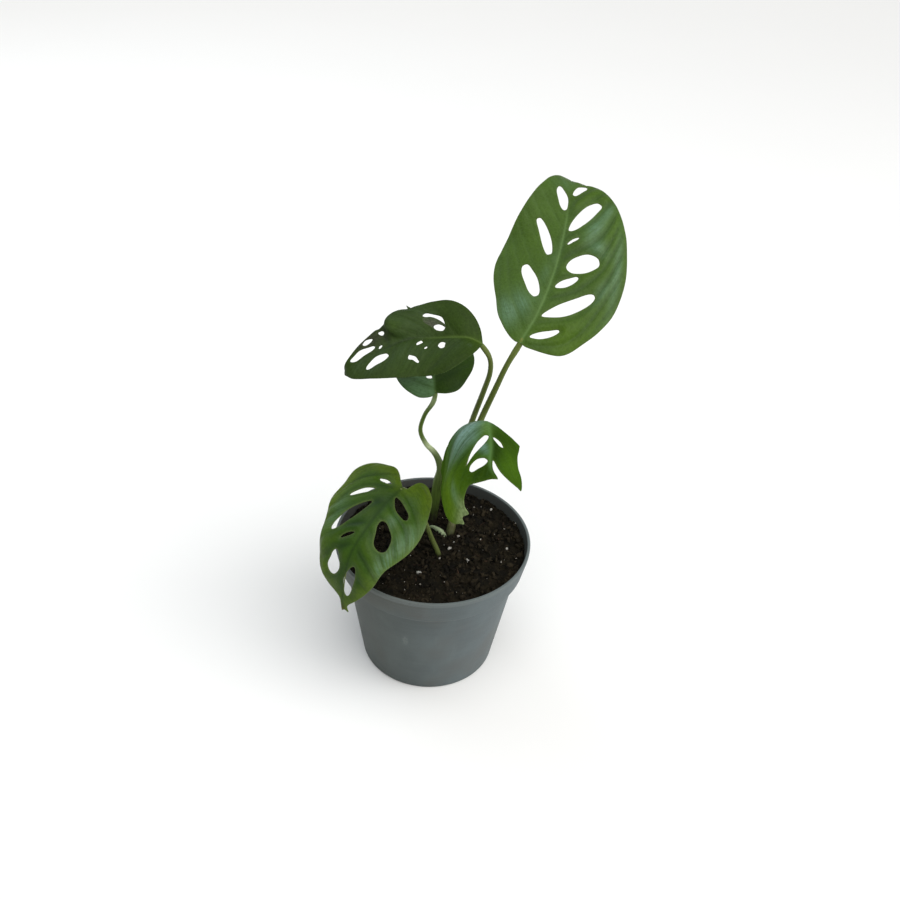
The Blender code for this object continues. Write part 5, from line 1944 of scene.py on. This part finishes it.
@dataclass(frozen=True)
class Light:
    """A soft light that looks at the plant from a direction.

    A window is a bright square, size metres wide. The sky is a bright round patch, size degrees wide, and
    lights the floor the same all over.
    """

    name: str
    source: Source
    azimuth: float
    elevation: float
    power: float
    size: float
    colour: Colour
    reach: float = 1.4

    def build(self, target: Vector) -> None:
        """Puts the light in place.

        Args:
            target: What it looks at.
        """
        lamp = bpy.data.lights.new(self.name, self.source.value)
        lamp.energy, lamp.color = self.power, self.colour
        if self.source is Source.SKY:
            lamp.angle = radians(self.size)
        else:
            lamp.size = self.size
        a, e = radians(self.azimuth), radians(self.elevation)
        back = Vector((sin(a) * cos(e), -cos(a) * cos(e), sin(e)))
        obj = linked(self.name, lamp)
        obj.location = target + back * self.reach
        obj.rotation_euler = back.to_track_quat("Z", "Y").to_euler()


@dataclass
class Studio:
    """The pale floor, the soft lights and the camera at the photograph's angle."""

    elevation: float = 35.63
    roll: float = 3.65
    distance: float = 600.0
    target: Place = (7.07, 0.0, 155.3)
    lens: float = 41.56
    floor_radius: float = 6.0
    floor_sides: int = 64
    surround: Colour = (0.93, 0.95, 0.97)
    surround_strength: float = 0.27
    lights: tuple[Light, ...] = (
        Light("sky", Source.SKY, 35.0, 66.0, 2.6, 70.0, (1.0, 0.99, 0.965)),
        Light("window", Source.WINDOW, -128, 42, 5.0, 1.1, (0.84, 0.93, 1.0)),
        Light("right_side", Source.WINDOW, 78, 24, 7.0, 0.9, (1.0, 0.985, 0.96)),
    )

    def build(self) -> None:
        """Makes the floor, the surround, the lights and the camera."""
        self.build_floor()
        world = bpy.data.worlds.new("surround")
        world.use_nodes = True
        shade = world.node_tree.nodes["Background"]
        shade.inputs["Color"].default_value = (*self.surround, 1.0)
        shade.inputs["Strength"].default_value = self.surround_strength
        scene = bpy.context.scene
        scene.world = world
        scene.view_settings.view_transform = "Standard"
        target = Vector(self.target) * MM
        for light in self.lights:
            light.build(target)
        self.build_camera(target)

    def build_floor(self) -> None:
        """A wide level disc under the pot."""
        turn = full_turn(self.floor_sides)
        edge = np.stack((np.cos(turn), np.sin(turn), 0 * turn), axis=-1) * self.floor_radius
        mesh = bpy.data.meshes.new("floor")
        mesh.from_pydata(edge.tolist(), [], [list(range(self.floor_sides))])
        mesh.materials.append(FloorFinish().material())
        floor = linked("floor", mesh)

    def build_camera(self, target: Vector) -> None:
        """A camera that looks down at the target along +Y, rolled a little.

        Args:
            target: What it looks at.
        """
        e, r = radians(self.elevation), radians(self.roll)
        ahead = Vector((0.0, cos(e), -sin(e)))
        level = Vector((1.0, 0.0, 0.0))
        upright = level.cross(ahead)
        right = level * cos(r) + upright * sin(r)
        up = upright * cos(r) - level * sin(r)
        data = bpy.data.cameras.new("camera")
        data.lens = self.lens
        data.clip_start, data.clip_end = 0.01, 30.0
        camera = linked("camera", data)
        turn = Matrix((right, up, -ahead)).transposed().to_4x4()
        camera.matrix_world = Matrix.Translation(target - ahead * self.distance * MM) @ turn
        bpy.context.scene.camera = camera


def main() -> None:
    """Builds the pot, the soil, the plant and the studio, and notes the sizes."""
    logging.basicConfig(level=logging.INFO, format="%(message)s")
    pot = Pot()
    LOG.info("pot: %s", pot.build().name)
    LOG.info("soil: %s", ", ".join(piece.name for piece in Soil(pot).build()))
    for leaf in LEAVES:
        LOG.info("%s: %s", leaf.name, Blade(leaf).build().name)
    LOG.info("stem and root: %s", ", ".join(piece.name for piece in Stem().build()))
    Studio().build()


if __name__ == "__main__":
    main()
